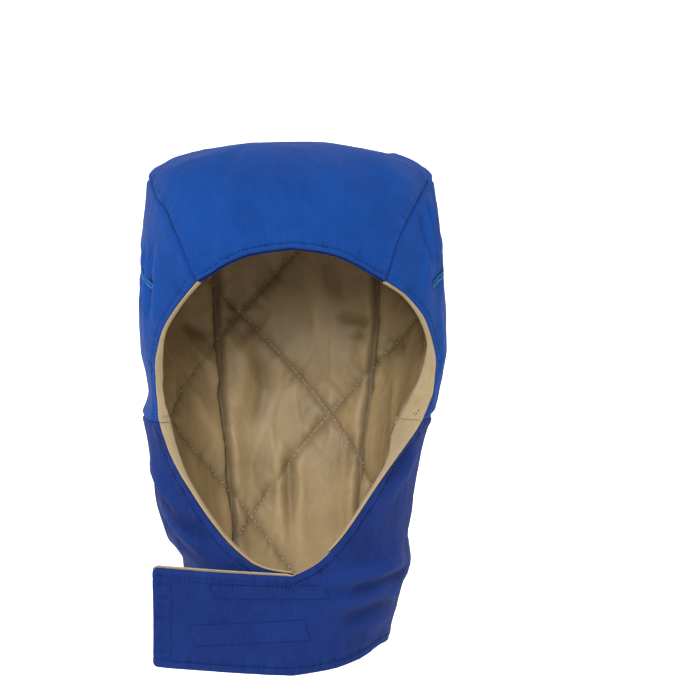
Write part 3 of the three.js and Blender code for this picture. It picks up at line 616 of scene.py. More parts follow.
def cloth(name, grids):
    """One closed piece of cloth from grids of outer and inner points. Points that coincide are joined,
    and every open edge gets a wall."""
    outer = np.concatenate([g["outer"].reshape(-1, 3) for g in grids])
    inner = np.concatenate([g["inner"].reshape(-1, 3) for g in grids])
    uv = np.concatenate([g["uv"].reshape(-1, 2) for g in grids])
    reliefs = [np.broadcast_to(g.get("relief", 0.0), g["outer"].shape[:2]) for g in grids]
    relief = np.concatenate([a.ravel() for a in reliefs])
    quads, start = [], 0
    for g in grids:
        m, n = g["outer"].shape[:2]
        index = start + np.arange(m * n).reshape(m, n)
        cells = np.stack([index[:-1, :-1], index[1:, :-1], index[1:, 1:], index[:-1, 1:]], axis=-1)
        quads.append(cells[g.get("keep", np.ones((m - 1, n - 1), bool))])
        start += m * n
    quads = np.concatenate(quads)
    key = np.round(np.concatenate([outer, inner], axis=1), 3)
    _, first, back = np.unique(key, axis=0, return_index=True, return_inverse=True)
    order = np.argsort(first)
    rank = np.empty_like(order)
    rank[order] = np.arange(len(order))
    outer, inner, uv, relief = (a[first[order]] for a in (outer, inner, uv, relief))
    quads = rank[back.ravel()][quads]
    count = len(outer)
    edges = np.concatenate([quads[:, [i, (i + 1) % 4]] for i in range(4)])
    edges = edges[edges[:, 0] != edges[:, 1]]
    codes, opposite = edges[:, 0] * count + edges[:, 1], edges[:, 1] * count + edges[:, 0]
    border = edges[~np.isin(codes, opposite)]
    walls = np.concatenate([border[:, ::-1], border + count], axis=1)
    skin = np.concatenate([quads, quads[:, ::-1] + count, walls])
    used = np.zeros(2 * count, bool)
    used[skin] = True
    new = np.cumsum(used) - 1
    points = np.concatenate([outer, inner])[used]
    faces = new[skin]
    a, b, c = (points[faces[:, k]] for k in range(3))
    d = points[faces[:, 3]]
    volume = np.einsum("ij,ij->", a, np.cross(b, c)) + np.einsum("ij,ij->", a, np.cross(c, d))
    if volume < 0:
        faces = faces[:, ::-1]
    polygons = [[v for k, v in enumerate(f) if v != f[k - 1]] for f in faces.tolist()]
    polygons = [f for f in polygons if len(f) > 2]
    uv, relief = (np.concatenate([a, a])[used] for a in (uv, relief))
    return mesh_piece(name, points, polygons, uv, relief)


def bars(name, sections, closed=False, uv_step=1.0, ring=0.0, flat=None):
    """Bars of one cross-section for each place along them. sections is (bars, places, corners, 3), and ring
    is the relief of the corners."""
    total, places, corners = sections.shape[:3]
    points = sections.reshape(-1, 3)
    index = np.arange(total * places * corners).reshape(total, places, corners)
    ahead = np.roll(index, -1, axis=1) if closed else index[:, 1:]
    here = index if closed else index[:, :-1]
    quads = [here, np.roll(here, -1, axis=2), np.roll(ahead, -1, axis=2), ahead]
    quads = np.stack(quads, axis=-1).reshape(-1, 4)
    a, b, c, d = (points[quads[:, k]] for k in range(4))
    volume = np.einsum("ij,ij->", a, np.cross(b, c)) + np.einsum("ij,ij->", a, np.cross(c, d))
    turned = volume < 0
    faces = (quads[:, ::-1] if turned else quads).tolist()
    if not closed:
        ends = [index[:, 0, ::-1], index[:, -1]]
        for end in ends:
            faces += (end[:, ::-1] if turned else end).tolist()
    u = np.broadcast_to(np.arange(places)[None, :, None] * uv_step, index.shape).ravel()
    v = np.broadcast_to(np.arange(corners)[None, None, :] * 1.0, index.shape).ravel()
    uv = np.stack([u, v], axis=-1) if flat is None else flat.reshape(-1, 2)
    return mesh_piece(name, points, faces, uv, np.broadcast_to(np.asarray(ring, float), index.shape).ravel())


def bvh_of(*pieces):
    points, faces = [], []
    for piece in pieces:
        start = len(points)
        points += [v.co for v in piece.data.vertices]
        faces += [[start + v for v in p.vertices] for p in piece.data.polygons]
    return BVHTree.FromPolygons(points, faces)


def dashes(tree, lines, pitch, length, width, sink=0.35):
    """Sections of thread for rows of stitches along lines, laid on the cloth of a search tree."""
    sections = []
    for points in lines:
        line = Line(points, 0.4)
        total = line.along[-1]
        starts = np.arange(0.5 * (pitch - length), total - length, pitch)
        for start in starts:
            share = np.linspace(0, 1, 5)
            at = start + share * length
            spine = np.stack([np.interp(at, line.along, line.points[:, k]) for k in range(3)], axis=-1)
            found = [tree.find_nearest(Vector(p) * MM) for p in spine]
            if any(f[0] is None for f in found):
                continue
            spot = np.array([f[0] for f in found]) / MM
            normal = np.array([f[1] for f in found])
            normal = normal.mean(0) / max(np.linalg.norm(normal.mean(0)), 1e-6)
            along = spot[-1] - spot[0]
            size = np.linalg.norm(along)
            if not 0.5 * length < size < 1.3 * length:
                continue
            along /= size
            aside = np.cross(along, normal)
            lift = width * (0.55 * np.sin(math.pi * share) ** 0.7 - sink * np.cos(math.pi * share) ** 4)
            fat = width / 2 * (0.35 + 0.65 * np.sin(math.pi * share) ** 0.6)
            angles = np.arange(5) * 2 * math.pi / 5 + 0.3
            ring = np.cos(angles)[None, :, None] * aside + np.sin(angles)[None, :, None] * normal
            sections.append(spot[:, None] + lift[:, None, None] * normal + fat[:, None, None] * ring)
    return np.array(sections)


def stitching(name, tree, lines, pitch, length, width, shade):
    return bars(name, dashes(tree, lines, pitch, length, width), uv_step=0.8, ring=shade)


def finish_piece(piece, material, slot, *nodes):
    piece.data.materials.append(material)
    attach(piece, "root")
    if nodes:
        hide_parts(*nodes)
    return piece


# Materials
class Nodes:
    def __init__(self, name):
        self.material = bpy.data.materials.new(name)
        self.material.use_nodes = True
        self.tree = self.material.node_tree
        self.tree.nodes.clear()
        self.out = self.tree.nodes.new("ShaderNodeOutputMaterial")
        self.shader = self.add("ShaderNodeBsdfPrincipled")
        self.link(self.shader, "BSDF", self.out, "Surface")

    def add(self, kind, **values):
        node = self.tree.nodes.new(kind)
        for key, value in values.items():
            if hasattr(node, key):
                setattr(node, key, value)
            else:
                node.inputs[key.replace("_", " ").title()].default_value = value
        return node

    def link(self, a, output, b, socket):
        self.tree.links.new(a.outputs[output], b.inputs[socket])

    def uv(self):
        return self.add("ShaderNodeTexCoord").outputs["UV"]

    def relief(self):
        return self.add("ShaderNodeAttribute", attribute_name="relief").outputs["Fac"]

    def total(self, first, *terms, clamp=False):
        """The sum of (value, factor) pairs, added up from the first."""
        out = self.math("MULTIPLY", *first)
        for k, term in enumerate(terms):
            out = self.math("ADD", out, self.math("MULTIPLY", *term), clamp=clamp and k == len(terms) - 1)
        return out

    def surface(self, tone, deep, light, normal, **values):
        """Colours the surface from deep to light by a tone, and sets the shader's named inputs."""
        self.tree.links.new(self.blend(tone, (*deep, 1), (*light, 1)), self.shader.inputs["Base Color"])
        self.tree.links.new(normal, self.shader.inputs["Normal"])
        names = {socket.name.lower().replace(" ", "_"): socket for socket in self.shader.inputs}
        for key, value in values.items():
            names[key].default_value = value
        return self.material

    def math(self, operation, a, b, clamp=False):
        node = self.tree.nodes.new("ShaderNodeMath")
        node.operation = operation
        node.use_clamp = clamp
        for k, value in enumerate((a, b)):
            if isinstance(value, (int, float)):
                node.inputs[k].default_value = value
            else:
                self.tree.links.new(value, node.inputs[k])
        return node.outputs[0]

    def blend(self, factor, a, b, kind="MIX"):
        node = self.tree.nodes.new("ShaderNodeMix")
        node.data_type = "RGBA"
        node.blend_type = kind
        for socket, value in ((0, factor), (6, a), (7, b)):
            if isinstance(value, (int, float, tuple)):
                node.inputs[socket].default_value = value
            else:
                self.tree.links.new(value, node.inputs[socket])
        return node.outputs[2]

    def noise(self, vector, scale, detail=3.0, rough=0.55):
        node = self.tree.nodes.new("ShaderNodeTexNoise")
        node.inputs["Scale"].default_value = scale
        node.inputs["Detail"].default_value = detail
        node.inputs["Roughness"].default_value = rough
        self.tree.links.new(vector, node.inputs["Vector"])
        return node.outputs["Fac"]

    def stretched(self, vector, scale, turn=(0, 0, 0)):
        node = self.tree.nodes.new("ShaderNodeMapping")
        node.inputs["Scale"].default_value = scale
        node.inputs["Rotation"].default_value = turn
        self.tree.links.new(vector, node.inputs["Vector"])
        return node.outputs[0]

    def wave(self, vector, scale, direction, distortion=0.0, detail_scale=1.0):
        node = self.tree.nodes.new("ShaderNodeTexWave")
        node.bands_direction = direction
        node.inputs["Scale"].default_value = scale
        node.inputs["Distortion"].default_value = distortion
        node.inputs["Detail"].default_value = 1.0
        node.inputs["Detail Scale"].default_value = detail_scale
        self.tree.links.new(vector, node.inputs["Vector"])
        return node.outputs["Fac"]

    def bump(self, height, strength, distance, normal=None):
        node = self.tree.nodes.new("ShaderNodeBump")
        node.inputs["Strength"].default_value = strength
        node.inputs["Distance"].default_value = distance
        self.tree.links.new(height, node.inputs["Height"])
        if normal is not None:
            self.tree.links.new(normal, node.inputs["Normal"])
        return node.outputs[0]


def woven(name, deep, light, roughness, sheen, twill=480.0, weave=0.6, mottle=45.0, lift=0.6):
    """Twill: fine diagonal ribs, uneven threads, soft mottling, and a tone from the relief: darker in folds
    and grooves as painted shade, paler on ridges and rolled edges as wear.
    """
    n = Nodes(name)
    uv = n.uv()
    ribs = n.wave(n.stretched(uv, (1, 1.6, 1)), twill, "DIAGONAL", 1.2, 2.0)
    threads = n.noise(n.stretched(uv, (2600, 500, 1)), 1.0, 2.0)
    cross = n.noise(n.stretched(uv, (420, 2400, 1)), 1.0, 2.0)
    slubs = n.noise(n.stretched(uv, (560, 110, 1)), 1.0, 2.0)
    patches = n.noise(uv, mottle, 4.0, 0.6)
    # The relief's share of the tone is painted shade in folds and grooves, with paler worn ridges.
    tone = n.total((n.relief(), lift), (patches, 0.55), (threads, 0.28), (slubs, 0.5), (ribs, 0.36))
    tone = n.math("SUBTRACT", tone, 0.33, clamp=True)
    height = n.math("ADD", ribs, n.total((threads, 0.8), (cross, 0.5)))
    normal = n.bump(height, weave, 0.0003, n.bump(patches, 0.35, 0.0012))
    sheens = {"sheen_weight": sheen, "sheen_roughness": 0.4, "sheen_tint": (0.9, 0.75, 1, 1)}
    return n.surface(tone, deep, light, normal, roughness=roughness, specular_ior_level=0.12, **sheens)


def satin(name, deep, light, roughness, sheen):
    """Soft lining taffeta: fine threads, small crush marks, a soft sheen, and a tone from the relief that
    paints shade into the quilting creases, seams and folds.
    """
    n = Nodes(name)
    uv = n.uv()
    threads = n.noise(n.stretched(uv, (3000, 600, 1)), 1.0, 2.0)
    patches = n.noise(uv, 38.0, 5.0, 0.62)
    crush = n.noise(n.stretched(uv, (260, 140, 1), (0, 0, 0.6)), 1.0, 4.0, 0.6)
    # The relief's share of the tone is painted shade: dark quilting creases and seams, lighter puffs.
    tone = n.total((n.relief(), 0.75), (patches, 0.5), (threads, 0.12), clamp=True)
    normal = n.bump(threads, 0.2, 0.0002, n.bump(crush, 0.5, 0.0009))
    sheens = {"sheen_weight": sheen, "sheen_roughness": 0.3, "sheen_tint": (*light, 1)}
    return n.surface(tone, deep, light, normal, roughness=roughness, specular_ior_level=0.4, **sheens)


def thread(name, deep, light, roughness=0.45, rate=3.0):
    """Stitching thread: twisted plies and a soft gloss. Its relief mixes the two colours."""
    n = Nodes(name)
    plies = n.wave(n.uv(), rate * 314.0, "DIAGONAL", 0.6, 2.0)
    tone = n.total((n.relief(), 0.85), (plies, 0.15), clamp=True)
    normal = n.bump(plies, 0.4, 0.0002)
    return n.surface(tone, deep, light, normal, roughness=roughness, specular_ior_level=0.2)


def loops(name, deep, light):
    """Closure tape: a dense pile of small loops."""
    n = Nodes(name)
    uv = n.uv()
    cells = n.tree.nodes.new("ShaderNodeTexVoronoi")
    cells.inputs["Scale"].default_value = 900
    n.tree.links.new(uv, cells.inputs["Vector"])
    pile = cells.outputs["Distance"]
    tone = n.total((pile, 0.6), (n.noise(uv, 220.0, 3.0), 0.4), clamp=True)
    return n.surface(tone, deep, light, n.bump(pile, 0.8, 0.0006), roughness=0.9, sheen_weight=0.4)


SHELL = woven("shell_twill", (0.0025, 0.022, 0.125), (0.007, 0.064, 0.31), 0.85, 0.05)
# A darker copy of the shell twill, as painted shade: the neck drape, chin flap and brow band are the same
# blue cloth as the hood.
SHADED_SHELL = woven("neck_twill", (0.0035, 0.011, 0.065), (0.011, 0.036, 0.195), 0.85, 0.05)
QUILT = satin("quilted_lining", (0.055, 0.033, 0.014), (0.40, 0.285, 0.142), 0.5, 0.12)
TAN = woven("facing_twill", (0.29, 0.21, 0.11), (0.57, 0.45, 0.27), 0.8, 0.1, 620.0, 0.3)
BLUE_THREAD = thread("shell_thread", (0.001, 0.005, 0.035), (0.003, 0.014, 0.085), 0.8)
TAN_THREAD = thread("lining_thread", (0.40, 0.31, 0.19), (0.78, 0.64, 0.44))
SATIN_THREAD = thread("slot_thread", (0.002, 0.035, 0.12), (0.014, 0.17, 0.46), 0.45, 1.0)
TAPE = loops("closure_tape", (0.006, 0.012, 0.06), (0.02, 0.045, 0.2))

# Lines of the seams and edges in space, for the relief beside them
fine = np.linspace(0, 1, 120)
brow_edge = Line(outer_at(*brow_line(fine), 0))
upper_edges = {side: Line(outer_at(*upper_line(side, fine), 0)) for side in ("left", "right")}
lower_edges = {side: Line(outer_at(*lower_line(side, fine), 0)) for side in ("left", "right")}
brow_seams = {side: Line(outer_at(*seam_line(side, fine), 0)) for side in ("left", "right")}
rear = mix(BROW_SEAM[0, 1], 360 - BROW_SEAM[0, 2], np.linspace(0, 1, 500))
rim_seam = Line(outer_at(rear, side_rim_z(rear), 0))
neck_rear = mix(neck_angle("left"), 360 - neck_angle("right"), np.linspace(0, 1, 500))
neck_seam = Line(outer_at(neck_rear, neck_seam_z(neck_rear), 0))
hem_turns = np.linspace(-LAP_TURN, 360, 720)
hem_edge = Line(outer_at(hem_turns, hem_z(hem_turns), 0))
reaches = np.linspace(0, FLAP_LENGTH, 150)
flap_top = Line(lap_at(reaches, flap_top_z(reaches), 0))
flap_hem = Line(lap_at(reaches, flap_hem_z(reaches), 0))
flap_end = Line(lap_at(FLAP_LENGTH, mix(flap_top_z(FLAP_LENGTH), flap_hem_z(FLAP_LENGTH), fine), 0))


def edge_relief(base, edges, seams, hem_width=5.5, seed=1):
    """Height that finished edges and seams add: rolled borders, topstitched hems, puckers and raised
    allowances."""
    height = np.zeros(base.shape[:2])
    for k, line in enumerate(edges):
        d, s = line.near(base)
        height += 0.3 * (1 - smoothstep(hem_width - 1.2, hem_width + 0.6, d))
        height -= 0.55 * bell(d, 0.8, hem_width)
        height -= 0.75 * np.clip(1 - d / 1.3, 0, 1) ** 2
        height += pucker(np.abs(d - hem_width), s, seed + k, 8.0, 6.0) * 0.7 * smoothstep(0, 2.5, d)
    for k, (line, depth) in enumerate(seams):
        d, s = line.near(base)
        height -= depth * bell(d, 1.3)
        height += 0.22 * bell(d, 2.6, 4.0)
        height += pucker(d, s, seed + 20 + k, 10.0, 8.0) * 0.9 * smoothstep(0, 3, d)
    return height


def soft_wrinkles(base, seed, amount=0.5):
    broad = waves(base * np.array([1.0, 1.0, 0.5]), 46, seed)
    fine_folds = bell(waves(base * np.array([1.0, 1.0, 0.45]), 30, seed + 1), 0.22)
    small = waves(base, 11, seed + 2)
    return amount * (0.9 * broad + 0.7 * fine_folds + 0.14 * small - 0.5)


def drape_relief(base, lines):
    """Height of long soft folds along lines in space, which fade out at both ends."""
    height = np.zeros(base.shape[:2])
    for rise, width, points in lines:
        line = Line(points, 1.0)
        d, s = line.near(base)
        fade = smoothstep(0, 0.3, s / line.along[-1]) * smoothstep(0, 0.3, 1 - s / line.along[-1])
        height += rise * fade * bell(d, width)
    return height


def smooth_path(points, count=24):
    points = np.array(points, float)
    at = np.arange(len(points))
    steps = np.linspace(0, at[-1], count)
    return np.stack([Curve(at, column)(steps) for column in points.T], axis=-1)


def drapes_on(place, table):
    lines = []
    for rise, width, points in table:
        path = smooth_path(points)
        lines.append((rise, width, place(path[:, 0], path[:, 1])))
    return lines


def crown_drapes():
    """The crown's drapes run through (x, y) places of its top view."""
    lines = []
    for rise, width, points in CROWN_DRAPES:
        x, y = smooth_path(points).T
        turn = np.degrees(np.arctan2(-x, -y))
        levels = np.linspace(0, 1.5, 400)
        ladder = body_point(turn[:, None], levels[None], 0, outer_radius)
        reach = np.hypot(ladder[..., 0], ladder[..., 1])
        k = [int(np.argmax(row >= min(r, row.max() - 0.1))) for row, r in zip(reach, np.hypot(x, y))]
        lines.append((rise, width, ladder[np.arange(len(k)), k]))
    return lines


SHELL_LINES = drapes_on(lambda t, z: outer_at(t, z, 0), SHELL_DRAPES)
LINING_LINES = drapes_on(lambda t, z: inner_at(t, z, LINING_INNER), LINING_DRAPES)


def shell_grid(place, turn, z, height, uv, keep=None):
    """Outer and inner points of a shell grid whose face stands out by a height."""
    grid = {
        "outer": place(turn, z, -height),
        "inner": place(turn, z, SHELL_WALL - 0.6 * height),
        "uv": uv,
        # Relief tone: painted shade in the folds and grooves, paler worn ridges.
        "relief": clamp01(0.5 + 0.28 * height),
    }
    if keep is not None:
        grid["keep"] = keep
    return grid


def slot_frame(side, slot):
    _, angle, down, tilt = slot
    turn, z = turn_of(side, angle), row_z(down * BODY_HEIGHT)
    unit = math.radians(float(section_radius(turn, z)))
    away = 1 if side == "left" else -1
    cos, sin = math.cos(math.radians(tilt)), math.sin(math.radians(tilt))
    return turn, z, unit, away, cos, sin


def slot_place(side, slot, turn, z):
    """Distances along and across a slot at points of the surface."""
    turn0, z0, unit, away, cos, sin = slot_frame(side, slot)
    aside, up = away * (turn - turn0) * unit, z - z0
    return aside * cos + up * sin, -aside * sin + up * cos


def slot_point(side, slot, along, across):
    turn0, z0, unit, away, cos, sin = slot_frame(side, slot)
    aside, up = away * (along * cos - across * sin), along * sin + across * cos
    return turn0 + aside / unit, z0 + up


ALL_SLOTS = [(side, slot) for side in ("left", "right") for slot in SLOTS]


def slot_open(turn, z, wide):
    """Cells of a grid that the slots cut away."""
    mid_turn = (turn[:-1, :-1] + turn[1:, 1:] + turn[1:, :-1] + turn[:-1, 1:]) / 4
    mid_z = (z[:-1, :-1] + z[1:, 1:] + z[1:, :-1] + z[:-1, 1:]) / 4
    keep = np.ones(mid_turn.shape, bool)
    for side, slot in ALL_SLOTS:
        along, across = slot_place(side, slot, mid_turn, mid_z)
        keep &= ~((np.abs(along) < SLOT_LENGTH / 2) & (np.abs(across) < wide))
    return keep


def slot_relief(turn, z):
    height = np.zeros(turn.shape)
    for k, (side, slot) in enumerate(ALL_SLOTS):
        along, across = slot_place(side, slot, turn, z)
        beyond = np.hypot(np.maximum(np.abs(along) - SLOT_LENGTH / 2, 0), across)
        height -= 0.5 * bell(beyond, 4.0)
        height += 0.55 * bell(beyond, 5.0, 9)
        height += pucker(beyond, along, 60 + k, 12, 9) * 0.5
    return height


# Shell: crown
def crown_points(rim_turns, seam_shares, brow_shares, above, rim_level):
    seams = {side: seam_line(side, seam_shares[1:], above) for side in ("left", "right")}
    drawn = {side: beside(turn, z, -2 * SEAM_GAP) for side, (turn, z) in seams.items()}
    brow = brow_line(brow_shares[1:-1], above)
    turn = np.concatenate([rim_turns, drawn["right"][0], brow[0], drawn["left"][0][::-1]])
    lower = np.concatenate([drawn["right"][1], brow[1], drawn["left"][1][::-1]])
    level = np.concatenate([np.full(len(rim_turns), rim_level), level_at(turn[len(rim_turns):], lower)])
    wrap = [*range(len(turn)), 0]
    turn, level = turn[wrap], level[wrap]
    turn[-1] += 360
    return turn, level


def crown_grid(turn, level, rings, outer_rings):
    near = np.linspace(0, 1, rings)[:, None] * 0.94 + 0 * turn
    far = mix(0.94, level[None], outer_rings[1:, None])
    levels = np.concatenate([near, far])
    return np.broadcast_to(turn, levels.shape), levels


def crown_panel():
    rim = mix(BROW_SEAM[0, 1], 360 - BROW_SEAM[0, 2], np.linspace(0, 1, 250))
    turn, level = crown_points(rim, np.linspace(0, 1, 50), np.linspace(0, 1, 96), 0, 1.0015)
    turns, levels = crown_grid(turn, level, 60, border_steps(48, 45))
    base = body_point(turns, levels, 0, outer_radius)
    seams = [(rim_seam, 0.2), *((line, 0.9) for line in brow_seams.values())]
    height = edge_relief(base, [brow_edge], seams, BROW_STITCH, seed=3)
    height += soft_wrinkles(base, 5, 0.5) + drape_relief(base, crown_drapes())
    grid = {
        "outer": body_point(turns, levels, -height, outer_radius),
        "inner": body_point(turns, levels, SHELL_WALL - 0.6 * height, outer_radius),
        "uv": base[..., :2] + base[..., 2:] * np.array([0.0, 0.8]),
        # Relief tone: painted shade in the folds and grooves, paler worn ridges.
        "relief": clamp01(0.5 + 0.28 * height),
    }
    return cloth("crown_cloth", [grid])


# Shell: hood
def hood_panel():
    rows = spread(108, 180)[:, None]
    columns = spread(440, 560)[None]
    z0 = mix(BROW_SEAM_TOP_Z, NECK_FRONT_Z, rows)
    fall = (BROW_CORNER_Z - z0) / (BROW_CORNER_Z - NECK_FRONT_Z)
    angles = {side: np.where(z0 > BROW_CORNER_Z, seam_angle(side, z0), UPPER[side](fall)) for side in UPPER}
    turn = mix(angles["left"], turn_of("right", angles["right"]), columns)
    z = upper_z(turn, rows)
    base = outer_at(turn, z, 0)
    seams = [(rim_seam, 0.2), (neck_seam, 1.0), *((line, 0.9) for line in brow_seams.values())]
    height = edge_relief(base, upper_edges.values(), seams, seed=7)
    height += soft_wrinkles(base, 11, 0.6) + slot_relief(turn, z) + drape_relief(base, SHELL_LINES)
    uv = flat_uv(turn, z, HOOD_RADIUS)
    return cloth("hood_cloth", [shell_grid(outer_at, turn, z, height, uv, slot_open(turn, z, 1.3))])


# Shell: neck drape and chin flap, one cloth
def neck_drape():
    left_end, right_end = neck_angle("left"), 360 - neck_angle("right")
    body = np.concatenate([
        np.linspace(-LAP_TURN, 0, 16)[:-1],
        left_end * np.linspace(0, 1, 72)[:-1],
        mix(left_end, right_end, np.linspace(0, 1, 260))[:-1],
        mix(right_end, 360, np.linspace(0, 1, 72)),
    ])
    top = np.where(
        body < left_end,
        mix(NECK_FRONT_Z, OPENING_BOTTOM_Z, LOWER["left"](np.maximum(body, 0) / left_end)),
        np.where(
            body > right_end,
            mix(NECK_FRONT_Z, OPENING_BOTTOM_Z, LOWER["right"]((360 - body) / neck_angle("right"))),
            neck_seam_z(body) - SEAM_GAP,
        ),
    )
    rows = spread(92, 110)[:, None]
    turn = np.broadcast_to(body, (len(rows), len(body)))
    z = mix(top[None], hem_z(body)[None], rows)
    base = outer_at(turn, z, 0)
    edges = [lower_edges["left"], lower_edges["right"], hem_edge]
    height = edge_relief(base, edges, [(neck_seam, 1.0)], seed=13) + soft_wrinkles(base, 17, 0.75)
    height += drape_relief(base, SHELL_LINES)
    uv = flat_uv(turn, z, NECK_RADIUS)
    main = shell_grid(outer_at, turn, z, height, uv)
    reach = np.concatenate([[0], spread(70, FLAP_LENGTH)[5:] * FLAP_LENGTH])[None]
    lap_z = mix(flap_top_z(reach), flap_hem_z(reach), rows)
    reach = np.broadcast_to(reach, lap_z.shape)
    lap_base = lap_at(reach, lap_z, 0)
    lap_edges = [lower_edges["right"], flap_top, hem_edge, flap_hem, flap_end]
    lap_height = edge_relief(lap_base, lap_edges, [], seed=23)
    lap_height += soft_wrinkles(lap_base, 17, 0.6) + drape_relief(lap_base, SHELL_LINES)
    blend = smoothstep(0, 20, reach)
    folds = folds_at(360.0 + 0 * reach, lap_z, FOLDS) * (1 - blend)
    lap_height = mix(height[:, -1:], lap_height, smoothstep(0, 6, reach)) + folds
    lap_uv = np.stack([math.radians(360) * NECK_RADIUS + reach, lap_z], axis=-1)
    return cloth("neck_cloth", [main, shell_grid(lap_at, reach, lap_z, lap_height, lap_uv)])


crown = finish_piece(crown_panel(), SHELL, "shell_twill", "crown_panel")
hood = finish_piece(hood_panel(), SHELL, "shell_twill", "hood_panel")
# The neck drape and chin flap take the darker copy of the shell twill as painted shade on the lower hood.
neck = finish_piece(neck_drape(), SHADED_SHELL, "shell_twill", "neck_panel", "chin_flap")


# Lining
def quilt_relief(base, turn, z, seed):
    """Puffed diamonds between two families of slanting stitch rows."""
    s = np.radians(turn - QUILT_TURN) * LINING_RADIUS
    normal = 1 / math.hypot(1 / QUILT_WIDTH, 1 / QUILT_HEIGHT)
    phases = [s / QUILT_WIDTH + (z - QUILT_Z) / QUILT_HEIGHT, s / QUILT_WIDTH - (z - QUILT_Z) / QUILT_HEIGHT]
    distances = [np.abs(phase - np.round(phase)) * normal for phase in phases]
    nearest = np.minimum(*distances)
    height = 2.9 * (1 - np.exp(-nearest / 6.0)) - 1.1 * bell(nearest, 1.2) - 1.2
    for k, (distance, other) in enumerate(zip(distances, phases[::-1])):
        height += pucker(distance, other * normal, seed + k, 14, 10) * 1.0 * smoothstep(0, 2, distance)
    long_folds = bell(waves(base * np.array([1.0, 1.0, 0.4]), 26, seed + 6), 0.2)
    return height + 0.6 * waves(base, 34, seed + 5) + 0.5 * long_folds


def lining_grid(place, turn, z, height, uv, keep=None, border=FAR):
    """Outer and inner points of a padded grid. It thins out towards a border where it meets a facing."""
    padded = np.maximum(LINING_INNER + 0.9 + height, LINING_OUTER + 0.8)
    grid = {
        "outer": place(turn, z, LINING_OUTER),
        "inner": place(turn, z, mix(LINING_OUTER + FACING_WALL - 0.2, padded, smoothstep(-1, 15, border))),
        "uv": uv,
        # Relief tone: painted shade in the quilting creases, seams and fold valleys.
        "relief": clamp01(0.42 + 0.13 * height),
    }
    if keep is not None:
        grid["keep"] = keep
    return grid


def edge_fall(distance, depth=1.6, reach=2.5):
    return -depth * np.clip(1 - distance / reach, 0, 1) ** 2


def wall_relief(turn, z, seed, seams):
    base = inner_at(turn, z, LINING_INNER)
    height = quilt_relief(base, turn, z, seed) + drape_relief(base, LINING_LINES)
    for place in seams:
        d = np.abs(turn - place) * np.radians(float(LINING_RADIUS))
        height -= 6.0 * bell(d, 2.8) - 0.9 * bell(d, 5, 8)
        height += pucker(d, z, seed + 30, 17, 10) * 0.8
    return height


def side_lining(side):
    away = 1 if side == "left" else -1
    gap = math.degrees(SEAM_GAP / (BODY_WIDTH / 2))
    back_turn = LINING_SEAM_LEFT - gap if side == "left" else LINING_SEAM_RIGHT + gap
    rows = spread(84, 180)
    z0 = mix(BROW_SEAM_TOP_Z, NECK_FRONT_Z, rows)
    fall = (BROW_CORNER_Z - z0) / (BROW_CORNER_Z - NECK_FRONT_Z)
    seam_turn = turn_of(side, seam_angle(side, z0))
    edge_turn = turn_of(side, UPPER[side](fall))
    edge_turn = beside(edge_turn, z0, FACING(clamp01(fall)) * FACING_WIDTH + 2 * SEAM_GAP)[0]
    corner = smoothstep(BROW_CORNER_Z + 5, BROW_CORNER_Z - 5, z0)
    front = np.where(z0 > BROW_CORNER_Z, mix(seam_turn, edge_turn, corner), edge_turn)
    columns = spread(84, 170)
    turn = mix(back_turn, front[:, None], columns[None])
    ease = columns[None] ** 4 * (z0 - upper_z(front, rows))[:, None]
    ease[[0, -1]] = 0
    z = upper_z(turn, rows[:, None]) + ease
    shares = np.linspace(0, 1, 76)
    line = lower_line(side, shares, 0.0 if side == "left" else LAP_TURN)
    low_turn, low_z = around(*line, np.full(76, FACING_WIDTH + 2 * SEAM_GAP))
    order = np.maximum.accumulate(-away * low_turn)
    low_turn, low_z = -away * order[1:], low_z[1:]
    if side == "left":
        low_turn = np.append(low_turn, np.linspace(0, -LAP_TURN, 12)[1:])
        low_z = np.append(low_z, np.full(11, low_z[-1]))
    tops_turn = np.concatenate([turn[-1], low_turn])
    tops_z = np.concatenate([neck_seam_z(turn[-1]), low_z])
    down = spread(62, 120)[:, None]
    lower_turns = np.broadcast_to(tops_turn, (len(down), len(tops_turn)))
    lower_z = mix(tops_z[None], hem_z(tops_turn)[None], down)
    grids = []
    for k, (t, h) in enumerate(((turn, z), (lower_turns, lower_z))):
        relief = wall_relief(t, h, 40, [LINING_SEAM_LEFT, LINING_SEAM_RIGHT])
        if k == 0:
            border = np.abs(t - front[:, None]) * np.radians(float(LINING_RADIUS))
        else:
            below = np.where(away * (t - front[-1]) > 0, FAR, tops_z[None] - h)
            border = np.minimum(np.minimum(FAR, h - hem_z(t)), below)
        uv = flat_uv(t, h, LINING_RADIUS)
        keep = slot_open(t, h, 1.6) if k == 0 else None
        grids.append(lining_grid(inner_at, t, h, relief, uv, keep, border))
    return cloth(f"{side}_lining_pad", grids)


def back_lining():
    turns = mix(LINING_SEAM_LEFT, LINING_SEAM_RIGHT, spread(84, 130))
    rows = spread(92, 180)
    down = spread(70, 165)[1:]
    upper = upper_z(turns[None], rows[:, None])
    lower = mix(neck_seam_z(turns)[None], hem_z(turns)[None], down[:, None])
    z = np.concatenate([upper, lower])
    turn = np.broadcast_to(turns, z.shape)
    relief = wall_relief(turn, z, 40, [LINING_SEAM_LEFT, LINING_SEAM_RIGHT]) + edge_fall(z - hem_z(turn))
    uv = flat_uv(turn, z, LINING_RADIUS)
    return cloth("back_lining_pad", [lining_grid(inner_at, turn, z, relief, uv)])


def crown_inner(turn, level, depth):
    return body_point(turn, level, depth, bridged_radius)


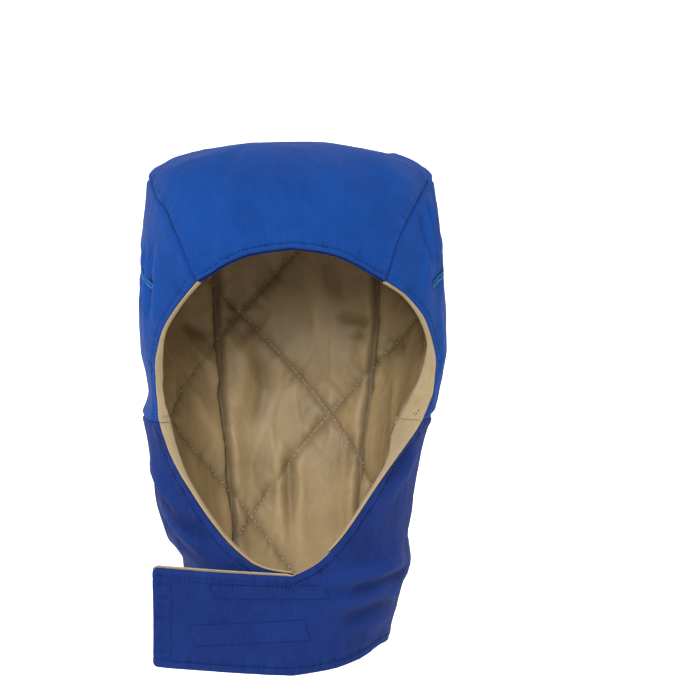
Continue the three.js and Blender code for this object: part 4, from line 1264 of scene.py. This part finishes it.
def crown_lining():
    above = FACING_WIDTH + 2 * SEAM_GAP
    rim = mix(BROW_SEAM[0, 1], 360 - BROW_SEAM[0, 2], np.linspace(0, 1, 150))
    turn, level = crown_points(rim, np.linspace(0, 1, 34), np.linspace(0, 1, 60), above, 0.992)
    turns, levels = crown_grid(turn, level, 40, border_steps(28, 40))
    base = crown_inner(turns, levels, LINING_INNER)
    height = quilt_relief(base, np.degrees(base[..., 0] / LINING_RADIUS) + QUILT_TURN, base[..., 1], 47)
    return cloth("crown_lining_pad", [lining_grid(crown_inner, turns, levels, height, base[..., :2])])


def facing(name, turn, z, widths, move, seed):
    """A strip behind the shell's edge, whose front rolls out past the edge as a lip."""
    back = LINING_OUTER + FACING_WALL
    profile = [
        (-2 * SEAM_GAP, 0, LIP_SINK + 0.5, outer_at),
        (-1.2, 0, LIP_SINK - 0.1, outer_at),
        (-1.7, 0, LIP_SINK, outer_at),
        (-LIP_REACH, 0, LIP_SINK + 0.7, outer_at),
        (-LIP_REACH, 0, 2.4, outer_at),
        (-LIP_REACH, 0, back - 0.4, inner_at),
        (-1.4, 0, back, inner_at),
        (0.4, 0, back + 0.1, inner_at),
        (0, 0.12, back, inner_at),
        *[(0, share, back, inner_at) for share in (0.2, 0.3, 0.4, 0.5, 0.6, 0.7, 0.8, 0.9)],
        (-0.4, 1, back, inner_at),
        (0, 1, back - 0.5, inner_at),
        (-0.3, 1, LINING_OUTER, inner_at),
        (0, 0.66, LINING_OUTER, inner_at),
        (0, 0.33, LINING_OUTER, inner_at),
        (0, 0.05, LINING_OUTER, inner_at),
        (-2 * SEAM_GAP, 0, LINING_OUTER, inner_at),
    ]
    sections, flat = [], []
    across = 0.0
    for lip, share, depth, place in profile:
        t, h = move(turn, z, lip + share * widths)
        d = np.full(t.shape, float(depth))
        if place is inner_at and depth >= back - 0.01:
            ripple = np.clip(waves(inner_at(t, h, back), 16, seed), -1, 1) * smoothstep(0, 0.3, share)
            d += -0.5 * ripple - 0.2 * smoothstep(0.3, 0.6, share)
        sections.append(place(t, h, d))
        if len(sections) > 1:
            across = across + np.linalg.norm(sections[-1] - sections[-2], axis=-1)
        flat.append(np.stack([across + 0 * z, z], axis=-1))
    return bars(name, np.stack(sections, axis=1)[None], flat=np.stack(flat, axis=1)[None])


def upper_facing(side):
    shares = spread(150, 100)
    turn, z = upper_line(side, shares)
    z[0] -= SEAM_GAP
    z[-1] += SEAM_GAP / 2
    return facing(f"{side}_upper_binding", turn, z, FACING(shares) * FACING_WIDTH, beside, 71)


def lower_facing(side):
    shares = np.linspace(0, 1, 170)
    turn, z = lower_line(side, shares, 0.0 if side == "left" else LAP_TURN)
    z[0] -= SEAM_GAP
    return facing(f"{side}_lower_binding", turn, z, np.full(170, float(FACING_WIDTH)), around, 73)


def brow_facing():
    gap = math.degrees(SEAM_GAP / (BODY_WIDTH / 2))
    rise = spread(22, FACING_WIDTH)[:, None] * FACING_WIDTH
    across = spread(150, 130)[None]
    turn, z = brow_line(across + 0 * rise, rise + 0 * across)
    turn = turn + mix(2, -2, across) * gap
    base = inner_at(turn, z, LINING_OUTER + FACING_WALL)
    height = 0.35 * waves(base, 14, 77)
    uv = flat_uv(turn, z, NECK_RADIUS)
    grid = {
        "outer": inner_at(turn, z, LINING_OUTER),
        "inner": inner_at(turn, z, LINING_OUTER + FACING_WALL + height * 0.6),
        "uv": uv,
        # A low relief tone darkens the band further: painted shade under the brow.
        "relief": clamp01(0.35 + 0.3 * height),
    }
    return cloth("brow_band", [grid])


def flap_facing():
    start = (SEAM_GAP - LAP_REACH) / FLAP_LENGTH
    share = mix(start, 1, spread(110, 124))
    reach = share * FLAP_LENGTH
    turn = 360 + np.degrees(np.minimum(reach, 0) / FRONT_RADIUS)
    edge = mix(NECK_FRONT_Z, OPENING_BOTTOM_Z, LOWER["right"]((360 - turn) / neck_angle("right")))
    lip = 1.6 * smoothstep(-4, 6, reach)
    top = np.where(reach < 0, edge, flap_top_z(reach)) + lip
    low = np.where(reach < 0, hem_z(turn), flap_hem_z(reach))
    rows = spread(34, 68)[:, None]
    z = mix(top[None], low[None], rows)
    reach2 = np.broadcast_to(reach, z.shape)
    turn2 = np.broadcast_to(turn, z.shape)

    def place(depth):
        return np.where((reach2 < 0)[..., None], outer_at(turn2, z, depth), lap_at(reach2, z, depth))

    base = place(LINING_OUTER)
    height = 0.3 * waves(base, 18, 79)
    lean = 1.3 * (1 - smoothstep(0, 0.03, rows)) * smoothstep(-4, 6, reach2)
    grid = {
        "outer": place(LINING_OUTER - lean),
        "inner": place(LINING_OUTER + FACING_WALL - 0.4 * lean + 0.3 * height),
        "uv": np.stack([reach2, z], axis=-1),
        # Relief tone: slightly darker in the ripples' hollows, as painted shade.
        "relief": clamp01(0.5 + 0.3 * height),
    }
    return cloth("flap_backing", [grid])


linings = {
    "crown": finish_piece(crown_lining(), QUILT, "quilted_lining", "crown_lining"),
    "back": finish_piece(back_lining(), QUILT, "quilted_lining", "back_lining"),
}
facings = []
for side in ("left", "right"):
    linings[side] = finish_piece(side_lining(side), QUILT, "quilted_lining", f"{side}_lining")
    facings.append(finish_piece(upper_facing(side), TAN, "facing_twill", f"{side}_upper_facing"))
    facings.append(finish_piece(lower_facing(side), TAN, "facing_twill", f"{side}_lower_facing"))
# The brow band takes the darker copy of the shell twill as painted shade under the brow.
brow_band = finish_piece(brow_facing(), SHADED_SHELL, "shell_twill", "brow_facing")
backing = finish_piece(flap_facing(), TAN, "facing_twill", "flap_facing")


# Strap slots: a satin-stitched ring, bright inside and dark outside
# distance from the slot, depth, shade
RIM_PROFILE = [
    (-0.1, 0.9, 0.6),
    (-0.12, -0.4, 0.9),
    (0.1, -0.85, 1.0),
    (0.45, -1.1, 1.0),
    (0.8, -0.9, 0.9),
    (0.95, -0.7, 0.35),
    (1.35, -0.85, 0.12),
    (1.75, -0.55, 0.05),
    (1.9, 0.2, 0.0),
    (1.2, 0.9, 0.0),
]


def slot_rim(side, slot):
    half = SLOT_LENGTH / 2 - SLOT_GAP / 2
    straight = np.linspace(half, -half, 150)[1:-1]
    arc = np.linspace(-0.5, 0.5, 15) * math.pi
    cx = np.concatenate([half + 0 * arc, straight, -half + 0 * arc, -straight])
    out_x = np.concatenate([np.cos(arc), 0 * straight, -np.cos(arc), 0 * straight])
    out_y = np.concatenate([np.sin(arc), 1 + 0 * straight, -np.sin(arc), -1 + 0 * straight])
    count = len(cx)
    ripple = 0.09 * np.where(np.arange(count) % 2 == 0, 1, -1)
    stations = []
    for distance, depth, _ in RIM_PROFILE:
        radius = SLOT_GAP / 2 + distance
        x, y = cx + out_x * radius, out_y * radius
        turn, z = slot_point(side, slot, x, y)
        lift = depth - ripple * (depth < -0.3)
        height = slot_relief(turn, z)
        stations.append(outer_at(turn, z, lift - height))
    shades = [shade for _, _, shade in RIM_PROFILE]
    return bars(f"{side}_{slot[0]}_slot_stitching", np.stack(stations, axis=1)[None], True, 0.35, shades)


for side, slot in ALL_SLOTS:
    node = f"{side}_{slot[0]}_slot_rim"
    finish_piece(slot_rim(side, slot), SATIN_THREAD, "slot_thread", node)


# Closure tapes
def tape_piece(name, tape, place, outer):
    _, down, start, end, width, slope = tape
    share = spread(60, (end - start) * FLAP_LENGTH)[None]
    rows = spread(20, width * FLAP_HEIGHT)[:, None]
    reach = mix(start, end, share) * FLAP_LENGTH
    middle = OPENING_BOTTOM_Z - (down + width * slope * (share - 0.5)) * FLAP_HEIGHT
    z = middle + (0.5 - rows) * width * FLAP_HEIGHT
    reach = np.broadcast_to(reach, z.shape)
    pile = 0.12 * waves(np.stack([reach, z, 0 * z], axis=-1), 2.2, 83)
    grid = {
        "outer": place(reach, z, outer + pile),
        "inner": place(reach, z, outer + TAPE_WALL - pile),
        "uv": np.stack([reach, z], axis=-1),
    }
    return cloth(name, [grid])


def under_at(reach, z, depth):
    return outer_at(np.degrees(reach / FRONT_RADIUS), z, depth)


def flap_at(reach, z, depth):
    turn = 360 + np.degrees(np.minimum(reach, 0) / FRONT_RADIUS)
    return np.where((reach < 0)[..., None], outer_at(turn, z, depth), lap_at(reach, z, depth))


for tape in TAPES:
    hook = tape_piece(f"{tape[0]}_hook_strip", tape, flap_at, HOOK_DEPTH)
    loop = tape_piece(f"{tape[0]}_loop_strip", tape, under_at, -LAYER_GAP - TAPE_WALL)
    finish_piece(hook, TAPE, "closure_tape", f"{tape[0]}_hook_tape")
    finish_piece(loop, TAPE, "closure_tape", f"{tape[0]}_loop_tape")

# Stitching
shell_tree = bvh_of(crown, hood, neck)


def above_brow(across, distance):
    """Points of the shell a distance above its brow edge, measured over the cloth."""
    turn, z = brow_line(across)
    rise = np.linspace(0, 0.4, 240)
    ladder = outer_at(turn[:, None], z[:, None] + rise[None] * 40, 0)
    length = np.cumsum(np.linalg.norm(np.diff(ladder, axis=1), axis=2), axis=1)
    return ladder[np.arange(len(turn)), np.argmax(length > distance, axis=1)]


def offset_line(turn, z, distance, move=beside):
    t, h = move(np.asarray(turn, float), np.asarray(z, float), distance)
    return outer_at(t, h, 0)


END_STITCH_Z = flap_top_z(FLAP_LENGTH) - FLAP_STITCH, flap_hem_z(FLAP_LENGTH) + HEM_STITCH
rows_of_stitches = [
    above_brow(np.linspace(0.02, 0.98, 120), BROW_STITCH),
    outer_at(hem_turns[30:], hem_z(hem_turns[30:]) + HEM_STITCH, 0),
    lap_at(reaches[:-16], flap_top_z(reaches[:-16]) - FLAP_STITCH, 0),
    lap_at(reaches[:-16], flap_hem_z(reaches[:-16]) + HEM_STITCH, 0),
    lap_at(FLAP_LENGTH - 13.5, mix(*END_STITCH_Z, fine), 0),
]
for side in ("left", "right"):
    rows_of_stitches.append(offset_line(*upper_line(side, np.linspace(0.06, 0.99, 90)), HEM_STITCH))
    rows_of_stitches.append(offset_line(*lower_line(side, np.linspace(0.02, 1, 90)), HEM_STITCH, around))
for tape in TAPES:
    _, down, start, end, width, slope = tape
    corners = np.array([(start, 0.5), (end, 0.5), (end, -0.5), (start, -0.5), (start, 0.5)])
    share = (corners[:, 0] - start) / (end - start)
    r = corners[:, 0] * FLAP_LENGTH + corners[:, 1] * 4.5
    zz = OPENING_BOTTOM_Z - (down + width * slope * (share - 0.5) - corners[:, 1] * width) * FLAP_HEIGHT
    steps_along = np.linspace(0, 4, 161)
    r, zz = (np.interp(steps_along, np.arange(5), a) for a in (r, zz))
    rows_of_stitches.append(flap_at(r, zz, 0))
stitches = stitching("shell_stitching", shell_tree, rows_of_stitches, 3.2, 2.4, 0.55, 0.5)
finish_piece(stitches, BLUE_THREAD, "slot_thread")

facing_tree = bvh_of(*facings)
tack_rows = []
# Share of the way from the lip to the facing's inside, and height above the facings' joint
TACKS = {
    "left": [[(0.25, 6), (0.75, -7)], [(0.75, 6), (0.3, -6)]],
    "right": [
        [(0.25, 9), (0.3, -2), (0.42, -12), (0.55, -20)],
        [(0.15, 2), (0.5, 6)],
        [(0.2, -5), (0.34, 4)],
    ],
}
for side, marks in TACKS.items():
    turn, z = upper_line(side, np.ones(1))
    for mark in marks:
        share, rise = smooth_path(mark, 12).T
        front = outer_at(turn, z + rise, 2.4)
        rear = inner_at(turn, z + rise, LINING_OUTER + FACING_WALL)
        tack_rows.append(mix(front, rear, share[:, None]))
tacks = stitching("facing_tacks", facing_tree, tack_rows, 2.8, 2.2, 0.6, 0.4)
finish_piece(tacks, BLUE_THREAD, "slot_thread")

lining_tree = bvh_of(*linings.values())
quilt_rows = []
for way in (1, -1):
    for k in range(-4, 5):
        z = np.linspace(-35, -375, 340)
        turn = QUILT_TURN + np.degrees((k - way * (z - QUILT_Z) / QUILT_HEIGHT) * QUILT_WIDTH / LINING_RADIUS)
        for low, high in ((75, 147), (149, 215), (217, 290)):
            ok = (turn > low) & (turn < high) & (z > hem_z(turn) + 3)
            if ok.sum() > 12:
                quilt_rows.append(inner_at(turn[ok], z[ok], LINING_INNER - 1.6))
quilting = stitching("quilt_stitching", lining_tree, quilt_rows, 4.2, 3.0, 0.6, 0.6)
finish_piece(quilting, TAN_THREAD, "quilted_lining")


# Stage, camera and light
def smooth_plane(name, points, faces, front, color):
    mesh = bpy.data.meshes.new(name)
    mesh.from_pydata(points, [], faces)
    mesh.shade_smooth()
    n = Nodes(name)
    place = n.add("ShaderNodeTexCoord").outputs["Object"]
    parts = n.tree.nodes.new("ShaderNodeSeparateXYZ")
    n.tree.links.new(place, parts.inputs[0])
    # The floor is pale and glows evenly, except for a grey disc without glow in front of the hood. The disc
    # is painted shade: it keeps the floor's light out of the hood's inside, and from behind it looks like a
    # soft shadow.
    ahead = n.math("ADD", parts.outputs[1], 1.5)
    reach = n.total((parts.outputs[0], parts.outputs[0]), (ahead, ahead))
    behind = n.math("SUBTRACT", n.math("MULTIPLY", reach, 0.6), 0.7, clamp=True)
    n.tree.links.new(n.blend(behind, (*front, 1), (*color, 1)), n.shader.inputs["Base Color"])
    n.shader.inputs["Roughness"].default_value = 0.9
    n.shader.inputs["Emission Color"].default_value = (1, 1, 1, 1)
    n.tree.links.new(n.math("MULTIPLY", behind, 0.85), n.shader.inputs["Emission Strength"])
    mesh.materials.append(n.material)
    return link_object(name, mesh)


FLOOR_Z = -0.47
sweep = [(-6.0, FLOOR_Z), (1.6, FLOOR_Z)]
bend = np.linspace(0, math.pi / 2, 24)[1:]
sweep += [(1.6 + 1.2 * math.sin(a), FLOOR_Z + 1.2 * (1 - math.cos(a))) for a in bend]
sweep += [(2.8, 6.0)]
points = [(x, y, z) for y, z in sweep for x in (-7.0, 7.0)]
faces = [(2 * i, 2 * i + 1, 2 * i + 3, 2 * i + 2) for i in range(len(sweep) - 1)]
# The grey is the painted shade of the floor disc in front of the hood.
smooth_plane("floor", points, faces, (0.3, 0.3, 0.3), (0.93, 0.93, 0.93))

target = Vector((0, 0, -195.4)) * MM
elevation = math.radians(6)
back = Vector((0, -math.cos(elevation), math.sin(elevation)))
MM_PER_PIXEL = 0.76
PICTURE_PIXELS = 700
CAMERA_AWAY = 1800
ASIDE_PIXELS = 58
focal = CAMERA_AWAY / MM_PER_PIXEL
right = Vector((1, 0, 0))
up = right.cross(-back)
aim = (-back * focal + right * ASIDE_PIXELS + up * ASIDE_PIXELS).normalized()
level = aim.cross(Vector((0, 0, 1))).normalized()
camera_data = bpy.data.cameras.new("camera")
camera_data.sensor_width = 36
camera_data.lens = camera_data.sensor_width * focal / PICTURE_PIXELS
camera_data.clip_start, camera_data.clip_end = 0.05, 50
camera = link_object("camera", camera_data)
camera.matrix_world = Matrix.Translation(target + back * CAMERA_AWAY * MM) @ Matrix(
    (level, level.cross(aim), -aim)
).transposed().to_4x4()
bpy.context.scene.camera = camera


def softbox(name, place, power, size, color=(1, 1, 1)):
    light = bpy.data.lights.new(name, "AREA")
    light.energy = power
    light.size = size
    light.color = color
    lamp = link_object(name, light)
    lamp.location = place
    lamp.rotation_mode = "QUATERNION"
    lamp.rotation_quaternion = (target - Vector(place)).to_track_quat("-Z", "Y")


softbox("key", (-0.4, -2.4, 0.9), 62, 1.1)
softbox("left", (-2.3, -0.5, 0.3), 12, 1.2)
softbox("right", (2.3, -0.7, 0.3), 12, 1.2)
softbox("top", (-0.1, -0.3, 1.9), 10, 1.2)
world = bpy.data.worlds.new("studio")
world.use_nodes = True
world.node_tree.nodes["Background"].inputs[0].default_value = (1, 1, 1, 1)
world.node_tree.nodes["Background"].inputs[1].default_value = 0.14
bpy.context.scene.world = world
bpy.context.scene.view_settings.view_transform = "Standard"
